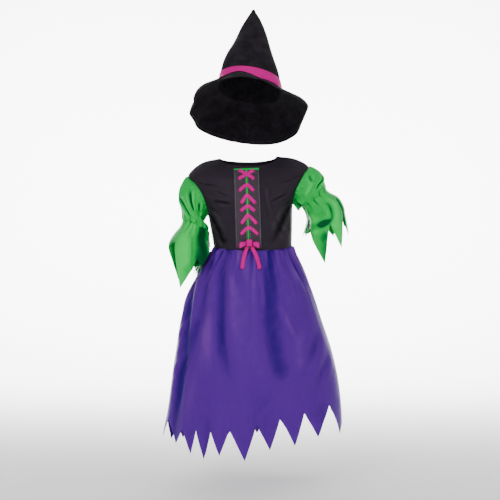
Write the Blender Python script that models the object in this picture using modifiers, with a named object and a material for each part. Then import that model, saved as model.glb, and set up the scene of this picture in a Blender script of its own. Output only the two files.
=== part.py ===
"""A child's witch costume in the open, rounded shape that it has when worn.

The dress has a laced bodice, puffed sleeves with ragged cuffs, and a gathered skirt with a
ragged hem. A soft pointed hat goes with it. Metres, +Z up, the front faces -Y, and the origin
is between the shoulders, where the dress is carried.
"""

import math
from collections import namedtuple

import bmesh
import bpy
from mathutils import Matrix, Vector

CLOTH = 0.0014  # wall of the dress
FELT = 0.002  # wall of the hat
RIBBON = 0.001
SEAM_GAP = 0.0003  # between two pieces that are sewn together
SLOPED_GAP = 0.0009  # the same, where the two walls meet at an angle
SHOULDER_GAP = 0.0012

LACING_WIDTH = 0.058
LACING_SLIT = 0.004
RIBBON_WIDTH = 0.0078

CROWN_RADIUS = 0.076
BAND_WIDTH = 0.0268
HAT_BASE = Vector((0, 0, 0.1645))
HAT_TILT_BACK = math.radians(17)
HAT_TILT_RIGHT = math.radians(8.5)

SKIRT_DROP = 0.48  # from the waist to the last row of the skirt's table
SKIRT_GATHERS = 28
GATHER_DEPTH = 0.0032
SKIRT_CLEAR = 0.009  # from the skirt's rings to the cuff that hangs beside it

# The bodice from the waist up. The left and right columns are the panel's two edges: the side
# seam, then the armhole, then the shoulder seam, which ends at the neck. _y is how far the edge
# lies in front of or behind the seam line, depth and z those of the panel's middle.
Bodice = namedtuple(
    "Bodice",
    "left_x left_z right_x right_z front_y front_depth front_z back_y back_depth back_z",
)
BODICE = [
    Bodice(-0.085, -0.203, 0.098, -0.200, 0.000, 0.072, -0.2136, 0.000, 0.068, -0.207),
    Bodice(-0.091, -0.167, 0.099, -0.155, 0.000, 0.078, -0.172, 0.000, 0.070, -0.167),
    Bodice(-0.098, -0.130, 0.100, -0.104, 0.004, 0.083, -0.132, 0.004, 0.075, -0.130),
    Bodice(-0.102, -0.110, 0.103, -0.086, 0.024, 0.083, -0.110, 0.026, 0.077, -0.108),
    Bodice(-0.107, -0.093, 0.107, -0.071, 0.036, 0.081, -0.091, 0.038, 0.077, -0.088),
    Bodice(-0.116, -0.074, 0.117, -0.052, 0.036, 0.077, -0.075, 0.038, 0.075, -0.070),
    Bodice(-0.129, -0.056, 0.128, -0.031, 0.023, 0.072, -0.061, 0.025, 0.071, -0.052),
    Bodice(-0.145, -0.036, 0.136, -0.014, 0.000, 0.067, -0.048, 0.000, 0.065, -0.036),
    Bodice(-0.113, -0.007, 0.104, 0.003, 0.000, 0.060, -0.033, 0.000, 0.057, -0.018),
    Bodice(-0.069, 0.003, 0.062, 0.008, 0.000, 0.053, -0.018, 0.000, 0.049, -0.002),
]
ARMPIT_ROW, SHOULDER_ROW = 2, 7

# Soft creases of the bodice: both ends as (across, up), then half width and depth.
Crease = namedtuple("Crease", "across_0 up_0 across_1 up_1 width depth")
BODICE_CREASES = [
    Crease(0.78, 0.26, 0.30, 0.04, 0.10, 0.0035),
    Crease(-0.80, 0.24, -0.45, 0.03, 0.10, 0.0030),
    Crease(-0.75, 0.40, -0.30, 0.34, 0.07, 0.0025),
    Crease(0.70, 0.44, 0.35, 0.36, 0.07, 0.0022),
]

# The skirt's rings, evenly spaced from the waist down.
Skirt = namedtuple("Skirt", "left_x right_x front_depth back_depth")
SKIRT = [
    Skirt(-0.0850, 0.0980, 0.0720, 0.0680),
    Skirt(-0.1190, 0.1240, 0.0930, 0.0940),
    Skirt(-0.1450, 0.1470, 0.1090, 0.1120),
    Skirt(-0.1620, 0.1670, 0.1210, 0.1260),
    Skirt(-0.1720, 0.1880, 0.1310, 0.1370),
    Skirt(-0.1820, 0.2035, 0.1400, 0.1470),
    Skirt(-0.1900, 0.2130, 0.1470, 0.1540),
    Skirt(-0.1980, 0.2165, 0.1520, 0.1600),
    Skirt(-0.2060, 0.2155, 0.1560, 0.1640),
]

# Folds of the skirt, in degrees round from the front's middle, at the waist and at the hem.
# A positive depth is a valley. start and end are shares of the way down.
Fold = namedtuple("Fold", "waist_deg hem_deg width_deg depth start end")
FOLDS = [
    Fold(-64, -70, 7, 0.013, 0.00, 0.95),
    Fold(-43, -26, 6, 0.011, 0.00, 1.10),
    Fold(-29, -50, 6, 0.008, 0.25, 1.20),
    Fold(-10, -12, 7, 0.006, 0.00, 0.60),
    Fold(28, 22, 7, 0.016, 0.00, 0.85),
    Fold(52, 38, 8, 0.008, 0.20, 0.80),
    Fold(70, 60, 7, 0.008, 0.30, 1.10),
    Fold(108, 112, 8, 0.012, 0.00, 1.20),
    Fold(138, 136, 8, 0.013, 0.00, 1.20),
    Fold(166, 163, 8, 0.012, 0.05, 1.20),
    Fold(196, 193, 8, 0.012, 0.00, 1.20),
    Fold(226, 222, 8, 0.013, 0.00, 1.20),
    Fold(254, 250, 8, 0.010, 0.05, 1.20),
]

# The ragged hem, point and notch by turns: degrees round from the front's middle, and height.
HEM = [
    (-90.0, -0.649),
    (-74.0, -0.606),
    (-59.0, -0.657),
    (-50.5, -0.623),
    (-43.0, -0.675),
    (-36.5, -0.624),
    (-30.5, -0.685),
    (-26.0, -0.623),
    (-20.0, -0.675),
    (-13.5, -0.617),
    (-4.5, -0.684),
    (2.6, -0.605),
    (11.0, -0.661),
    (17.1, -0.591),
    (27.0, -0.650),
    (34.1, -0.583),
    (44.5, -0.638),
    (57.0, -0.570),
    (77.0, -0.641),
    (90.0, -0.590),
    (98.0, -0.632),
    (108.0, -0.578),
    (118.0, -0.602),
    (127.0, -0.560),
    (137.0, -0.622),
    (147.0, -0.580),
    (158.0, -0.650),
    (167.0, -0.600),
    (177.0, -0.668),
    (187.0, -0.604),
    (197.0, -0.672),
    (206.0, -0.610),
    (216.0, -0.676),
    (225.0, -0.612),
    (234.0, -0.670),
    (243.0, -0.606),
    (252.0, -0.664),
    (261.0, -0.603),
    (270.0, -0.649),
]

# Sleeves: the gather's middle and radius, the way the sleeve runs there, how soon the cuff hangs
# straight down, how full the puff is, and how far the cuff reaches in beside how far out.
Sleeve = namedtuple("Sleeve", "name side gather way radius droop puff inner")
SLEEVES = [
    Sleeve("right", -1, (-0.127, -0.004, -0.151), (-0.27, -0.10, -0.96), 0.030, 1.00, 0.16, 0.75),
    Sleeve("left", 1, (0.150, 0.004, -0.089), (0.64, 0.06, -0.77), 0.034, 0.82, 0.24, 1.10),
]
# The cuffs' ragged edges, point and notch by turns: degrees round from the outer side by way
# of the front, then how far down from the gather.
CUFFS = {
    "right": [
        (20, 0.068),
        (41, 0.058),
        (64, 0.163),
        (104, 0.083),
        (126, 0.112),
        (160, 0.085),
        (195, 0.112),
        (222, 0.080),
        (250, 0.122),
        (278, 0.080),
        (312, 0.138),
        (350, 0.060),
    ],
    "left": [
        (10, 0.135),
        (36, 0.085),
        (60, 0.145),
        (80, 0.072),
        (104, 0.150),
        (138, 0.050),
        (168, 0.062),
        (198, 0.052),
        (228, 0.066),
        (262, 0.058),
        (300, 0.120),
        (335, 0.085),
    ],
}
CUFF_GATHERS = 11
PUFF_GATHERS = 11

# The crown's outline from the base up, and the brim's edge round from the front.
Crown = namedtuple("Crown", "height radius lean")
CROWN = [
    Crown(0.0000, 0.0760, 0.0000),
    Crown(0.0268, 0.0705, -0.0036),
    Crown(0.0536, 0.0645, -0.0072),
    Crown(0.0825, 0.0555, -0.0103),
    Crown(0.1093, 0.0455, -0.0110),
    Crown(0.1350, 0.0360, -0.0122),
    Crown(0.1610, 0.0258, -0.0152),
    Crown(0.1855, 0.0142, -0.0176),
    Crown(0.2083, 0.0020, -0.0211),
]
Brim = namedtuple("Brim", "degrees reach lift curl")
BRIM = [
    Brim(-180, 0.135, -0.081, 0.7),
    Brim(-131, 0.142, -0.079, 0.7),
    Brim(-112, 0.131, -0.077, 0.8),
    Brim(-97, 0.134, -0.071, 0.9),
    Brim(-88, 0.124, -0.062, 1.0),
    Brim(-73, 0.131, -0.054, 0.9),
    Brim(-60, 0.136, -0.050, 0.5),
    Brim(-43, 0.158, -0.059, 0.2),
    Brim(-25, 0.169, -0.051, 0.1),
    Brim(-9, 0.172, -0.033, 0.1),
    Brim(11, 0.172, -0.046, 0.1),
    Brim(27, 0.166, -0.053, 0.0),
    Brim(47, 0.158, -0.045, 0.0),
    Brim(66, 0.152, -0.043, 0.3),
    Brim(81, 0.139, -0.045, 0.8),
    Brim(99, 0.134, -0.051, 1.0),
    Brim(118, 0.140, -0.065, 0.9),
    Brim(145, 0.140, -0.077, 0.8),
    Brim(180, 0.135, -0.081, 0.7),
]

# The ribbon's rows on the lacing panel: the middle's x and z, half width and drop of the arms.
Lace = namedtuple("Lace", "x z left right drop")
LACES = [
    Lace(-0.0065, -0.0640, 0.0185, 0.0150, 0.0140),
    Lace(-0.0070, -0.0880, 0.0130, 0.0195, 0.0180),
    Lace(-0.0050, -0.1120, 0.0160, 0.0155, 0.0115),
    Lace(-0.0045, -0.1330, 0.0150, 0.0200, 0.0190),
    Lace(-0.0030, -0.1600, 0.0175, 0.0215, 0.0165),
]
CROSS_MIDDLE = (-0.0085, -0.0395)
CROSS_HALF = (0.0180, 0.0105)
BOW_MIDDLE = (-0.0010, -0.1950)


def along(rows, share):
    """The row of a table at that share of the way through it, on a smooth curve."""
    place = min(max(share, 0), 1) * (len(rows) - 1)
    i = min(int(place), len(rows) - 2)
    f = place - i
    four = [rows[max(i - 1, 0)], rows[i], rows[i + 1], rows[min(i + 2, len(rows) - 1)]]
    return type(rows[0])(*(catmull_rom(f, *values) for values in zip(*four)))


def catmull_rom(f, before, a, b, after):
    slope_a = (b - before) / 2
    slope_b = (after - a) / 2
    rise = b - a
    return a + f * (slope_a + f * (3 * rise - 2 * slope_a - slope_b + f * (slope_a + slope_b - 2 * rise)))


def between(a, b, share):
    return a + (b - a) * share


def smooth(share):
    share = min(max(share, 0), 1)
    return share * share * (3 - 2 * share)


def bell(distance):
    return math.exp(-distance * distance)


def material(name, colour, roughness):
    made = bpy.data.materials.new(name)
    made.use_nodes = True
    shader = made.node_tree.nodes["Principled BSDF"]
    shader.inputs["Base Color"].default_value = (*colour, 1)
    shader.inputs["Roughness"].default_value = roughness
    shader.inputs["Metallic"].default_value = 0
    made.diffuse_color = (*colour, 1)
    return made


def cloth(name, rows, finish, wall=CLOTH, offset=0.0, closed=False, cap=False):
    """A sheet of cloth from rows of points, given its wall by Solidify. Its rows run round a
    tube where closed is true, and cap shuts the last one."""
    mesh = bpy.data.meshes.new(name)
    bm = bmesh.new()
    grid = [[bm.verts.new(point) for point in row] for row in rows]
    columns = len(grid[0])
    for lower, upper in zip(grid, grid[1:]):
        for i in range(columns if closed else columns - 1):
            j = (i + 1) % columns
            bm.faces.new((lower[i], lower[j], upper[j], upper[i]))
    if cap:
        bm.faces.new(grid[-1])
    bm.to_mesh(mesh)
    bm.free()
    obj = bpy.data.objects.new(name, mesh)
    COSTUME.objects.link(obj)
    obj.data.materials.append(finish)
    obj.data.shade_smooth()
    solidify = obj.modifiers.new("Wall", "SOLIDIFY")
    solidify.thickness = wall
    solidify.offset = offset
    return obj


def spread(low, high, count):
    return [between(low, high, i / (count - 1)) for i in range(count)]


# Bodice


def crease_depth(across, up):
    """How far the bodice's creases draw the cloth in at a point."""
    total = 0
    for crease in BODICE_CREASES:
        start = Vector((crease.across_0, crease.up_0))
        line = Vector((crease.across_1, crease.up_1)) - start
        point = Vector((across, up)) - start
        share = point.dot(line) / line.length_squared
        away = (point - line * min(max(share, 0), 1)).length
        total += crease.depth * bell(away / crease.width * 2)
    return total


def bodice_point(face, across, up):
    """A point of the bodice: face is -1 in front and 1 behind, across runs from -1 to 1 and up
    from 0 at the waist to 1 at the neck."""
    row = along(BODICE, up)
    if face < 0:
        edge_y, depth, middle_z = row.front_y, row.front_depth, row.front_z
    else:
        edge_y, depth, middle_z = row.back_y, row.back_depth, row.back_z
    widest = math.acos(max(edge_y, 0) / depth)
    turn = across * widest
    middle_x = (row.left_x + row.right_x) / 2
    half = (row.right_x - row.left_x) / 2
    edge_z = row.right_z if across > 0 else row.left_z
    inward = crease_depth(across, up) * (1 - abs(across)) if face < 0 else 0
    return Vector(
        (
            middle_x + half * math.sin(turn) / math.sin(widest),
            face * (depth * math.cos(turn) - inward),
            between(middle_z, edge_z, across * across),
        )
    )


def bodice_panel(name, face, left, right, columns, finish):
    """A panel of the bodice from seam to seam. It stops short of them by half the gap, and by
    more on the shoulder, where the front's wall and the back's meet at an angle."""
    rows = []
    for up in spread(0, 1, 16):
        on_shoulder = smooth(up * (len(BODICE) - 1) - SHOULDER_ROW + 1)
        inset = between(SEAM_GAP, SHOULDER_GAP, on_shoulder) / 2 / 0.09
        low, high = max(left, inset - 1), min(right, 1 - inset)
        row = [bodice_point(face, across, up) for across in spread(low, high, columns)]
        rows.append(row if face < 0 else row[::-1])
    return cloth(name, rows, finish)


def on_bodice(x, z, out):
    """The point of the front bodice seen at x and z from in front, moved out from the cloth."""
    across, up = 0.0, 0.5
    step = 0.001
    for _ in range(12):
        here = bodice_point(-1, across, up)
        per_across = (bodice_point(-1, across + step, up).x - here.x) / step
        per_up = (bodice_point(-1, across, up + step).z - here.z) / step
        across += (x - here.x) / per_across
        up = min(max(up + (z - here.z) / per_up, 0), 1 - step)
    here = bodice_point(-1, across, up)
    right = bodice_point(-1, across + step, up) - here
    top = bodice_point(-1, across, up + step) - here
    return here + right.cross(top).normalized() * out


# Lacing


def on_panel(name, corners, out, finish, wall, columns=4, rows=16):
    """A flat piece laid on the front bodice, from its four corners as (x, z): bottom left,
    bottom right, top left, top right."""
    bottom_left, bottom_right, top_left, top_right = (Vector(c) for c in corners)
    grid = []
    for up in spread(0, 1, rows):
        left = bottom_left.lerp(top_left, up)
        right = bottom_right.lerp(top_right, up)
        grid.append([on_bodice(*left.lerp(right, a), out) for a in spread(0, 1, columns)])
    return cloth(name, grid, finish, wall)


def ribbon(name, path, out, place=on_bodice, width=RIBBON_WIDTH, lift=0.0):
    """A ribbon along a path of (x, z) points, mitred at its turns. lift raises its middle."""
    path = [Vector(p) for p in path]
    grid = []
    for i, point in enumerate(path):
        before = (point - path[i - 1]).normalized() if i else (path[1] - point).normalized()
        after = (path[i + 1] - point).normalized() if i < len(path) - 1 else before
        way = (before + after).normalized()
        side = Vector((-way.y, way.x)) * width / 2 / max(way.dot(before), 0.5)
        raised = out + lift * smooth(2 - 4 * abs(i / (len(path) - 1) - 0.5))
        grid.append([place(*(point + side * k), raised) for k in (1, 0, -1)])
    return cloth(name, grid, RIBBON_PINK, RIBBON)


def lacing():
    inset_out = CLOTH + SEAM_GAP
    panel_out = inset_out + RIBBON + SEAM_GAP
    ribbon_out = panel_out + RIBBON + SEAM_GAP
    half, slit, lean = LACING_WIDTH / 2, LACING_SLIT / 2, 0.006
    middle, low, high = -0.0085, -0.2085, -0.0285
    inset = [(middle + lean - half, low), (middle + lean + half, low)]
    inset += [(middle - half, high + 0.0035), (middle + half, high + 0.0055)]
    on_panel("lacing_inset", inset, inset_out, SLEEVE_GREEN, RIBBON, 7)
    for side, name in ((-1, "right"), (1, "left")):
        edges = sorted((side * slit, side * half))
        corners = [(middle + lean + x, low) for x in edges] + [(middle + x, high) for x in edges]
        on_panel(f"lacing_panel_{name}", corners, panel_out, PANEL_GREY, RIBBON)

    for number, lace in enumerate(LACES, 1):
        top = Vector((lace.x, lace.z))
        left = Vector((-lace.left, -lace.drop))
        right = Vector((lace.right, -lace.drop))
        path = [top + left, top + left * 0.5 + Vector((0, 0.0015)), top]
        path += [top + right * 0.5 + Vector((0, 0.0015)), top + right]
        ribbon(f"lace_row_{number}", path, ribbon_out)

    x, z = CROSS_MIDDLE
    wide, tall = CROSS_HALF
    shares = spread(-1, 1, 9)
    ribbon("lace_cross_under", [(x + s * wide, z + s * tall) for s in shares], ribbon_out)
    over = [(x + s * wide, z - s * tall) for s in shares]
    ribbon("lace_cross_over", over, ribbon_out, lift=RIBBON + SEAM_GAP + 0.0004)
    bow(ribbon_out)


def bow(out):
    """The bow at the waist: a knot, two loops, and two tails that hang on the skirt."""
    x, z = BOW_MIDDLE
    middle = on_bodice(x, z, out + 0.0031)
    lean = math.radians(8)
    bpy.ops.mesh.primitive_cube_add(size=1, location=middle, rotation=(lean, 0, 0))
    knot = bpy.context.object
    knot.name = "bow_knot"
    knot.scale = (0.014, 0.0065, 0.017)
    bpy.ops.object.transform_apply(location=False, rotation=False, scale=True)
    bevel = knot.modifiers.new("Soft edges", "BEVEL")
    bevel.width = 0.003
    bevel.segments = 2
    knot.data.materials.append(RIBBON_PINK)
    knot.data.shade_smooth()
    for owner in list(knot.users_collection):
        owner.objects.unlink(knot)
    COSTUME.objects.link(knot)

    for side, name in ((-1, "right"), (1, "left")):
        rows = []
        for turn in spread(0.09 * math.tau, 0.91 * math.tau, 15):
            reach = 0.0095 * (1 - math.cos(turn))
            thick = 0.0042 * math.sin(turn) * (0.35 + reach / 0.019)
            tall = between(0.0035, 0.0072, reach / 0.019)
            bulge = middle + Vector((side * (0.0066 + reach), thick - 0.0014, -0.45 * reach))
            rows.append([bulge + Vector((0, 0, k * tall)) for k in (-1, 0, 1)])
        cloth(f"bow_loop_{name}", rows, RIBBON_PINK, RIBBON)

        foot = Vector((-0.0175 if side < 0 else 0.0225, -0.2560))
        start = Vector((x + side * 0.0050, z - 0.0096))
        bend = Vector((0.0025, 0)) * side
        shares = spread(0, 1, 7)
        path = [start.lerp(foot, s) + bend * math.sin(math.pi * s) for s in shares]
        ribbon(f"bow_tail_{name}", path, 0, over_waist, 0.0088)


def over_waist(x, z, _):
    """Where a tail hangs at x and z: straight down from the knot, then on the skirt's gathers."""
    drop = max(BODICE[0].front_z - z, 0)
    ring = along(SKIRT, drop / SKIRT_DROP)
    middle = (ring.left_x + ring.right_x) / 2
    half = (ring.right_x - ring.left_x) / 2
    turns = [math.asin((x + side - middle) / half) for side in (-0.004, 0, 0.004)]
    ridge = min(skirt_point(turn, drop).y for turn in turns)
    clear = (CLOTH + RIBBON) / 2 + 2 * SEAM_GAP
    return Vector((x, min(on_bodice(x, max(z, -0.208), 0.0070).y, ridge - clear), z))


# Skirt


def waist_height(turn):
    """Height of the waist seam, round from the front's middle."""
    low, side = (BODICE[0].front_z if math.cos(turn) > 0 else BODICE[0].back_z), BODICE[0]
    edge = side.right_z if math.sin(turn) > 0 else side.left_z
    across = abs(math.atan2(math.sin(turn), abs(math.cos(turn)))) / (math.pi / 2)
    return between(low, edge, across * across)


def skirt_point(turn, drop, gathers=1.0):
    """A point of the skirt, that far round and that far below the waist."""
    share = drop / SKIRT_DROP
    ring = along(SKIRT, share)
    middle = (ring.left_x + ring.right_x) / 2
    half = (ring.right_x - ring.left_x) / 2
    depth = ring.front_depth if math.cos(turn) > 0 else ring.back_depth
    inward = 0
    for fold in FOLDS:
        at = between(fold.waist_deg, fold.hem_deg, share)
        away = (math.degrees(turn) - at + 180) % 360 - 180
        width = fold.width_deg * between(1.0, 1.35, share)
        ramp = smooth((share - fold.start + 0.10) / 0.16) * smooth((fold.end - share) / 0.35)
        shoulders = 0.25 * (bell((away - 1.9 * width) / width) + bell((away + 1.9 * width) / width))
        inward += fold.depth * ramp * (bell(away / width) - shoulders)
    ripple = math.cos(turn * SKIRT_GATHERS) * math.exp(-drop / 0.075) * smooth(drop / 0.008)
    inward += gathers * GATHER_DEPTH * ripple
    return Vector(
        (
            middle + (half - inward) * math.sin(turn),
            -(depth - inward) * math.cos(turn),
            waist_height(turn) - drop,
        )
    )


def ragged(edge, steps):
    """Columns of a ragged edge: each row of its table and the steps between that and the next."""
    columns = [
        (between(a, b, i / steps), between(height_a, height_b, i / steps))
        for (a, height_a), (b, height_b) in zip(edge, edge[1:])
        for i in range(steps)
    ]
    return [(math.radians(degrees), height) for degrees, height in columns + [edge[-1]]]


def skirt_panel(name, low, high, finish):
    """The part of the skirt between two angles. It has a column at every point and notch."""
    kept = ragged([row for row in HEM if low <= row[0] <= high], 3)
    ends = math.radians(low), math.radians(high)
    rows = []
    for share in [0, 0.03, 0.08, 0.16, 0.27, 0.40, 0.54, 0.68, 0.82, 1]:
        row = []
        seam = SEAM_GAP / between(0.070, 0.160, share)
        for turn, height in kept:
            inside = min(max(turn, ends[0] + seam), ends[1] - seam)
            length = waist_height(turn) - height
            drop = between(SLOPED_GAP, length, share)
            row.append(skirt_point(inside, drop))
        rows.append(row[::-1])
    return cloth(name, rows, finish)


# Sleeves


def armhole(side, share):
    """A point of the armhole, all the way round: 0 and 1 are the shoulder, 0.5 the armpit."""
    top, bottom = SHOULDER_ROW / (len(BODICE) - 1), ARMPIT_ROW / (len(BODICE) - 1)
    face = -1 if share < 0.5 else 1
    down = share * 2 if share < 0.5 else 2 - share * 2
    return bodice_point(face, side, between(top, bottom, down))


def sleeve_axes(sleeve):
    """The sleeve's way down, its outer side and its front, at its gather."""
    down = Vector(sleeve.way).normalized()
    front = Vector((0, -1, 0))
    front = (front - down * front.dot(down)).normalized()
    outer = down.cross(front).normalized()
    return down, outer if outer.x * sleeve.side > 0 else -outer, front


def puff_point(sleeve, turn, share):
    """The upper sleeve: share 0 is the armhole, and 1 the gather."""
    down, outer, front = sleeve_axes(sleeve)
    top = armhole(sleeve.side, (turn / math.tau) % 1)
    round_it = outer * math.cos(turn) + front * math.sin(turn)
    gather = Vector(sleeve.gather)
    end = gather + round_it * sleeve.radius
    hole = (armhole(sleeve.side, 0) + armhole(sleeve.side, 0.5)) / 2
    leaving = Vector((sleeve.side * 0.9, 0, -0.35)).normalized()
    reach = (gather - hole).length
    swell = leaving * reach * 0.30 * math.sin(math.pi * share) * (1 - share)
    middle = hole.lerp(gather, share)
    point = top.lerp(end, share) + swell
    away = point - middle
    full = 1 + sleeve.puff * math.sin(math.pi * share) ** 0.8
    ripple = math.cos(turn * PUFF_GATHERS) * 0.0022
    ripple *= smooth(abs(share - 0.45) / 0.45) * smooth((1 - share) / 0.06) * smooth(share / 0.06)
    hollow = 0.10 * bell((turn - 2.1) / 0.5) + 0.08 * bell((turn - 0.8) / 0.35)
    full -= hollow * math.sin(math.pi * share)
    return middle + away * full + away.normalized() * ripple


def cuff_point(sleeve, turn, length):
    """The ragged lower sleeve, that far below the gather. It hangs from the gather's outer side."""
    down, outer, front = sleeve_axes(sleeve)
    fall = Vector((0, 0, -1))
    share = length / 0.15
    hang = down.lerp(fall, sleeve.droop * smooth(length / 0.06)).normalized()
    middle = Vector(sleeve.gather) + down * min(length, 0.03) + hang * max(length - 0.03, 0)
    flare = 0.027 * smooth(length / 0.075) + 0.003 * share
    ripple = math.cos(turn * CUFF_GATHERS) * 0.0020 * math.exp(-length / 0.03)
    ripple *= smooth(length / 0.006)
    wave = 0.0035 * math.cos(turn * 5 + 1) * smooth(length / 0.08)
    size = sleeve.radius + (flare + wave) * (1 if math.cos(turn) > 0 else sleeve.inner) + ripple
    round_it = outer * math.cos(turn) + front * math.sin(turn) * 0.95
    return clear_of_skirt(middle + round_it * size)


def clear_of_skirt(point):
    """The point, moved out level until the skirt's fullest outline is SKIRT_CLEAR away."""
    ring = along(SKIRT, (-0.200 - point.z) / SKIRT_DROP)
    middle = (ring.left_x + ring.right_x) / 2
    half = (ring.right_x - ring.left_x) / 2 + SKIRT_CLEAR
    depth = (ring.front_depth if point.y < 0 else ring.back_depth) + SKIRT_CLEAR
    inside = Vector(((point.x - middle) / half, point.y / depth)).length
    if inside >= 1:
        return point
    return Vector((middle + (point.x - middle) / inside, point.y / inside, point.z))


def sleeve_pieces(sleeve):
    start, end = 0.0022, 0.0006
    puff = []
    for share in [0, 0.07, 0.20, 0.38, 0.58, 0.77, 0.90, 1]:
        row = []
        for i in range(33):
            turn = math.tau * i / 33
            point = puff_point(sleeve, turn, share)
            away = Vector((sleeve.side, 0, -0.2)).normalized() * start
            row.append(point + away * (1 - share) - sleeve_axes(sleeve)[0] * end * share)
        puff.append(row if sleeve.side > 0 else row[::-1])
    cloth(f"sleeve_{sleeve.name}", puff, SLEEVE_GREEN, closed=True)

    edge = CUFFS[sleeve.name]
    edge = ragged(edge + [(edge[0][0] + 360, edge[0][1])], 3)[:-1]
    cuff = []
    for share in [0, 0.05, 0.14, 0.28, 0.46, 0.64, 0.82, 1]:
        row = [cuff_point(sleeve, turn, between(end, length, share)) for turn, length in edge]
        cuff.append(row if sleeve.side > 0 else row[::-1])
    cloth(f"cuff_{sleeve.name}", cuff, SLEEVE_GREEN, closed=True)


# Hat


def hat_frame():
    turn = Matrix.Rotation(HAT_TILT_RIGHT, 4, "Y") @ Matrix.Rotation(-HAT_TILT_BACK, 4, "X")
    return Matrix.Translation(HAT_BASE) @ turn


def crown_at(height):
    """The crown's radius and lean at a height, straight between the table's rows."""
    for low, high in zip(CROWN, CROWN[1:]):
        if height <= high.height:
            share = (height - low.height) / (high.height - low.height)
            return between(low.radius, high.radius, share), between(low.lean, high.lean, share)
    return CROWN[-1].radius, CROWN[-1].lean


def crown_point(turn, height, out=0.0):
    """A point of the crown, round from the front by way of the left side, moved out."""
    radius, lean = crown_at(height)
    dent = 0.004 * bell((height - 0.118) / 0.02) * bell((math.sin(turn) + 1) / 0.7)
    radius += out - dent
    local = Vector((lean + radius * math.sin(turn), -radius * math.cos(turn), height))
    return hat_frame() @ local


def brim_row(turn):
    """The brim's edge at an angle, on a smooth curve through the table."""
    degrees = (math.degrees(turn) + 180) % 360 - 180
    for i, (a, b) in enumerate(zip(BRIM, BRIM[1:])):
        if degrees <= b.degrees:
            share = (degrees - a.degrees) / (b.degrees - a.degrees)
            before = BRIM[i - 1] if i else BRIM[-2]
            after = BRIM[i + 2] if i + 2 < len(BRIM) else BRIM[1]
            return Brim(*(catmull_rom(share, *values) for values in zip(before, a, b, after)))
    return BRIM[-1]


def brim_point(turn, share):
    """A point of the brim: share 0 is the seam with the crown, and 1 the edge."""
    edge = brim_row(turn)
    quarter = share * math.pi / 2
    out = between(share, math.sin(quarter), edge.curl)
    fall = between(share, 1 - math.cos(quarter), edge.curl)
    inner = CROWN_RADIUS
    radius = between(inner, edge.reach, out)
    height = -(FELT / 2 + SEAM_GAP) + edge.lift * fall
    local = Vector((radius * math.sin(turn), -radius * math.cos(turn), height))
    return hat_frame() @ local


def hat():
    turns = [math.tau * i / 32 for i in range(32)]
    crown = [[crown_point(turn, row.height) for turn in turns] for row in CROWN]
    cloth("hat_crown", crown, HAT_BLACK, FELT, offset=1.0, closed=True, cap=True)

    out = FELT + SEAM_GAP
    heights = spread(0.0005, BAND_WIDTH, 3)
    band = [[crown_point(turn, height, out) for turn in turns] for height in heights]
    cloth("hat_band", band, RIBBON_PINK, RIBBON, offset=1.0, closed=True)

    turns = [math.tau * i / 44 for i in range(44)]
    brim = [[brim_point(turn, share) for turn in turns] for share in spread(1, 0, 7)]
    cloth("hat_brim", brim, HAT_BLACK, FELT, closed=True)


def dress():
    middle = SEAM_GAP / 2 / 0.09
    bodice_panel("bodice_front", -1, -1, 1, 23, BODICE_BLACK)
    bodice_panel("bodice_back_right", 1, -1, -middle, 11, BODICE_BLACK)
    bodice_panel("bodice_back_left", 1, middle, 1, 11, BODICE_BLACK)
    skirt_panel("skirt_front", -90, 90, SKIRT_PURPLE)
    skirt_panel("skirt_back", 90, 270, SKIRT_PURPLE)
    for sleeve in SLEEVES:
        sleeve_pieces(sleeve)


for old in list(bpy.data.objects):
    bpy.data.objects.remove(old)
COSTUME = bpy.data.collections.new("witch_costume")
bpy.context.scene.collection.children.link(COSTUME)

BODICE_BLACK = material("bodice_black", (0.030, 0.024, 0.032), 0.55)
PANEL_GREY = material("panel_grey", (0.085, 0.070, 0.085), 0.60)
SLEEVE_GREEN = material("sleeve_green", (0.020, 0.400, 0.060), 0.40)
SKIRT_PURPLE = material("skirt_purple", (0.090, 0.035, 0.330), 0.45)
RIBBON_PINK = material("ribbon_pink", (0.800, 0.000, 0.270), 0.60)
HAT_BLACK = material("hat_black", (0.012, 0.010, 0.012), 0.85)

dress()
lacing()
hat()
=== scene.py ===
"""A child's witch costume in its worn form: a laced satin dress and a soft pointed hat.

Metres, +Z up, the front faces -Y, and the origin lies between the shoulders.
"""

import math
from collections import namedtuple

import bmesh
import bpy
import numpy as np
from mathutils import Matrix, Vector


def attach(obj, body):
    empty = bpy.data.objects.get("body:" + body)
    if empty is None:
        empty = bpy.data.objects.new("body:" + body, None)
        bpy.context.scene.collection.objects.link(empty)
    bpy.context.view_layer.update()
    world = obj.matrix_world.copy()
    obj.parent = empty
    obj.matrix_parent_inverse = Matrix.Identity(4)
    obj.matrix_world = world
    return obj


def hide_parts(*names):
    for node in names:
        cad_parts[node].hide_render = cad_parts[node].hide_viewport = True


# The set: the costume hangs over a white floor that curves up behind it. One broad light from
# the upper left shapes the folds, and a weaker one from the right opens their shadows.

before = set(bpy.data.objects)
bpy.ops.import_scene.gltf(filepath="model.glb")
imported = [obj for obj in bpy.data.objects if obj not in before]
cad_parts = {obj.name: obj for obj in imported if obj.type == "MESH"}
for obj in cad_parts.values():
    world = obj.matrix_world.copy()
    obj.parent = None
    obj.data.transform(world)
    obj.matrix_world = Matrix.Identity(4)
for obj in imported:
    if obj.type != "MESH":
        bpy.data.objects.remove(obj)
bpy.context.view_layer.update()

FLOOR = -0.767

camera = bpy.data.objects.new("camera", bpy.data.cameras.new("camera"))
camera.data.sensor_width = 36
camera.data.lens = 91.53
camera.location = (0, -3, -0.2124)
camera.rotation_euler = (math.radians(90), 0, 0)
bpy.context.scene.collection.objects.link(camera)
bpy.context.scene.camera = camera

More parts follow.
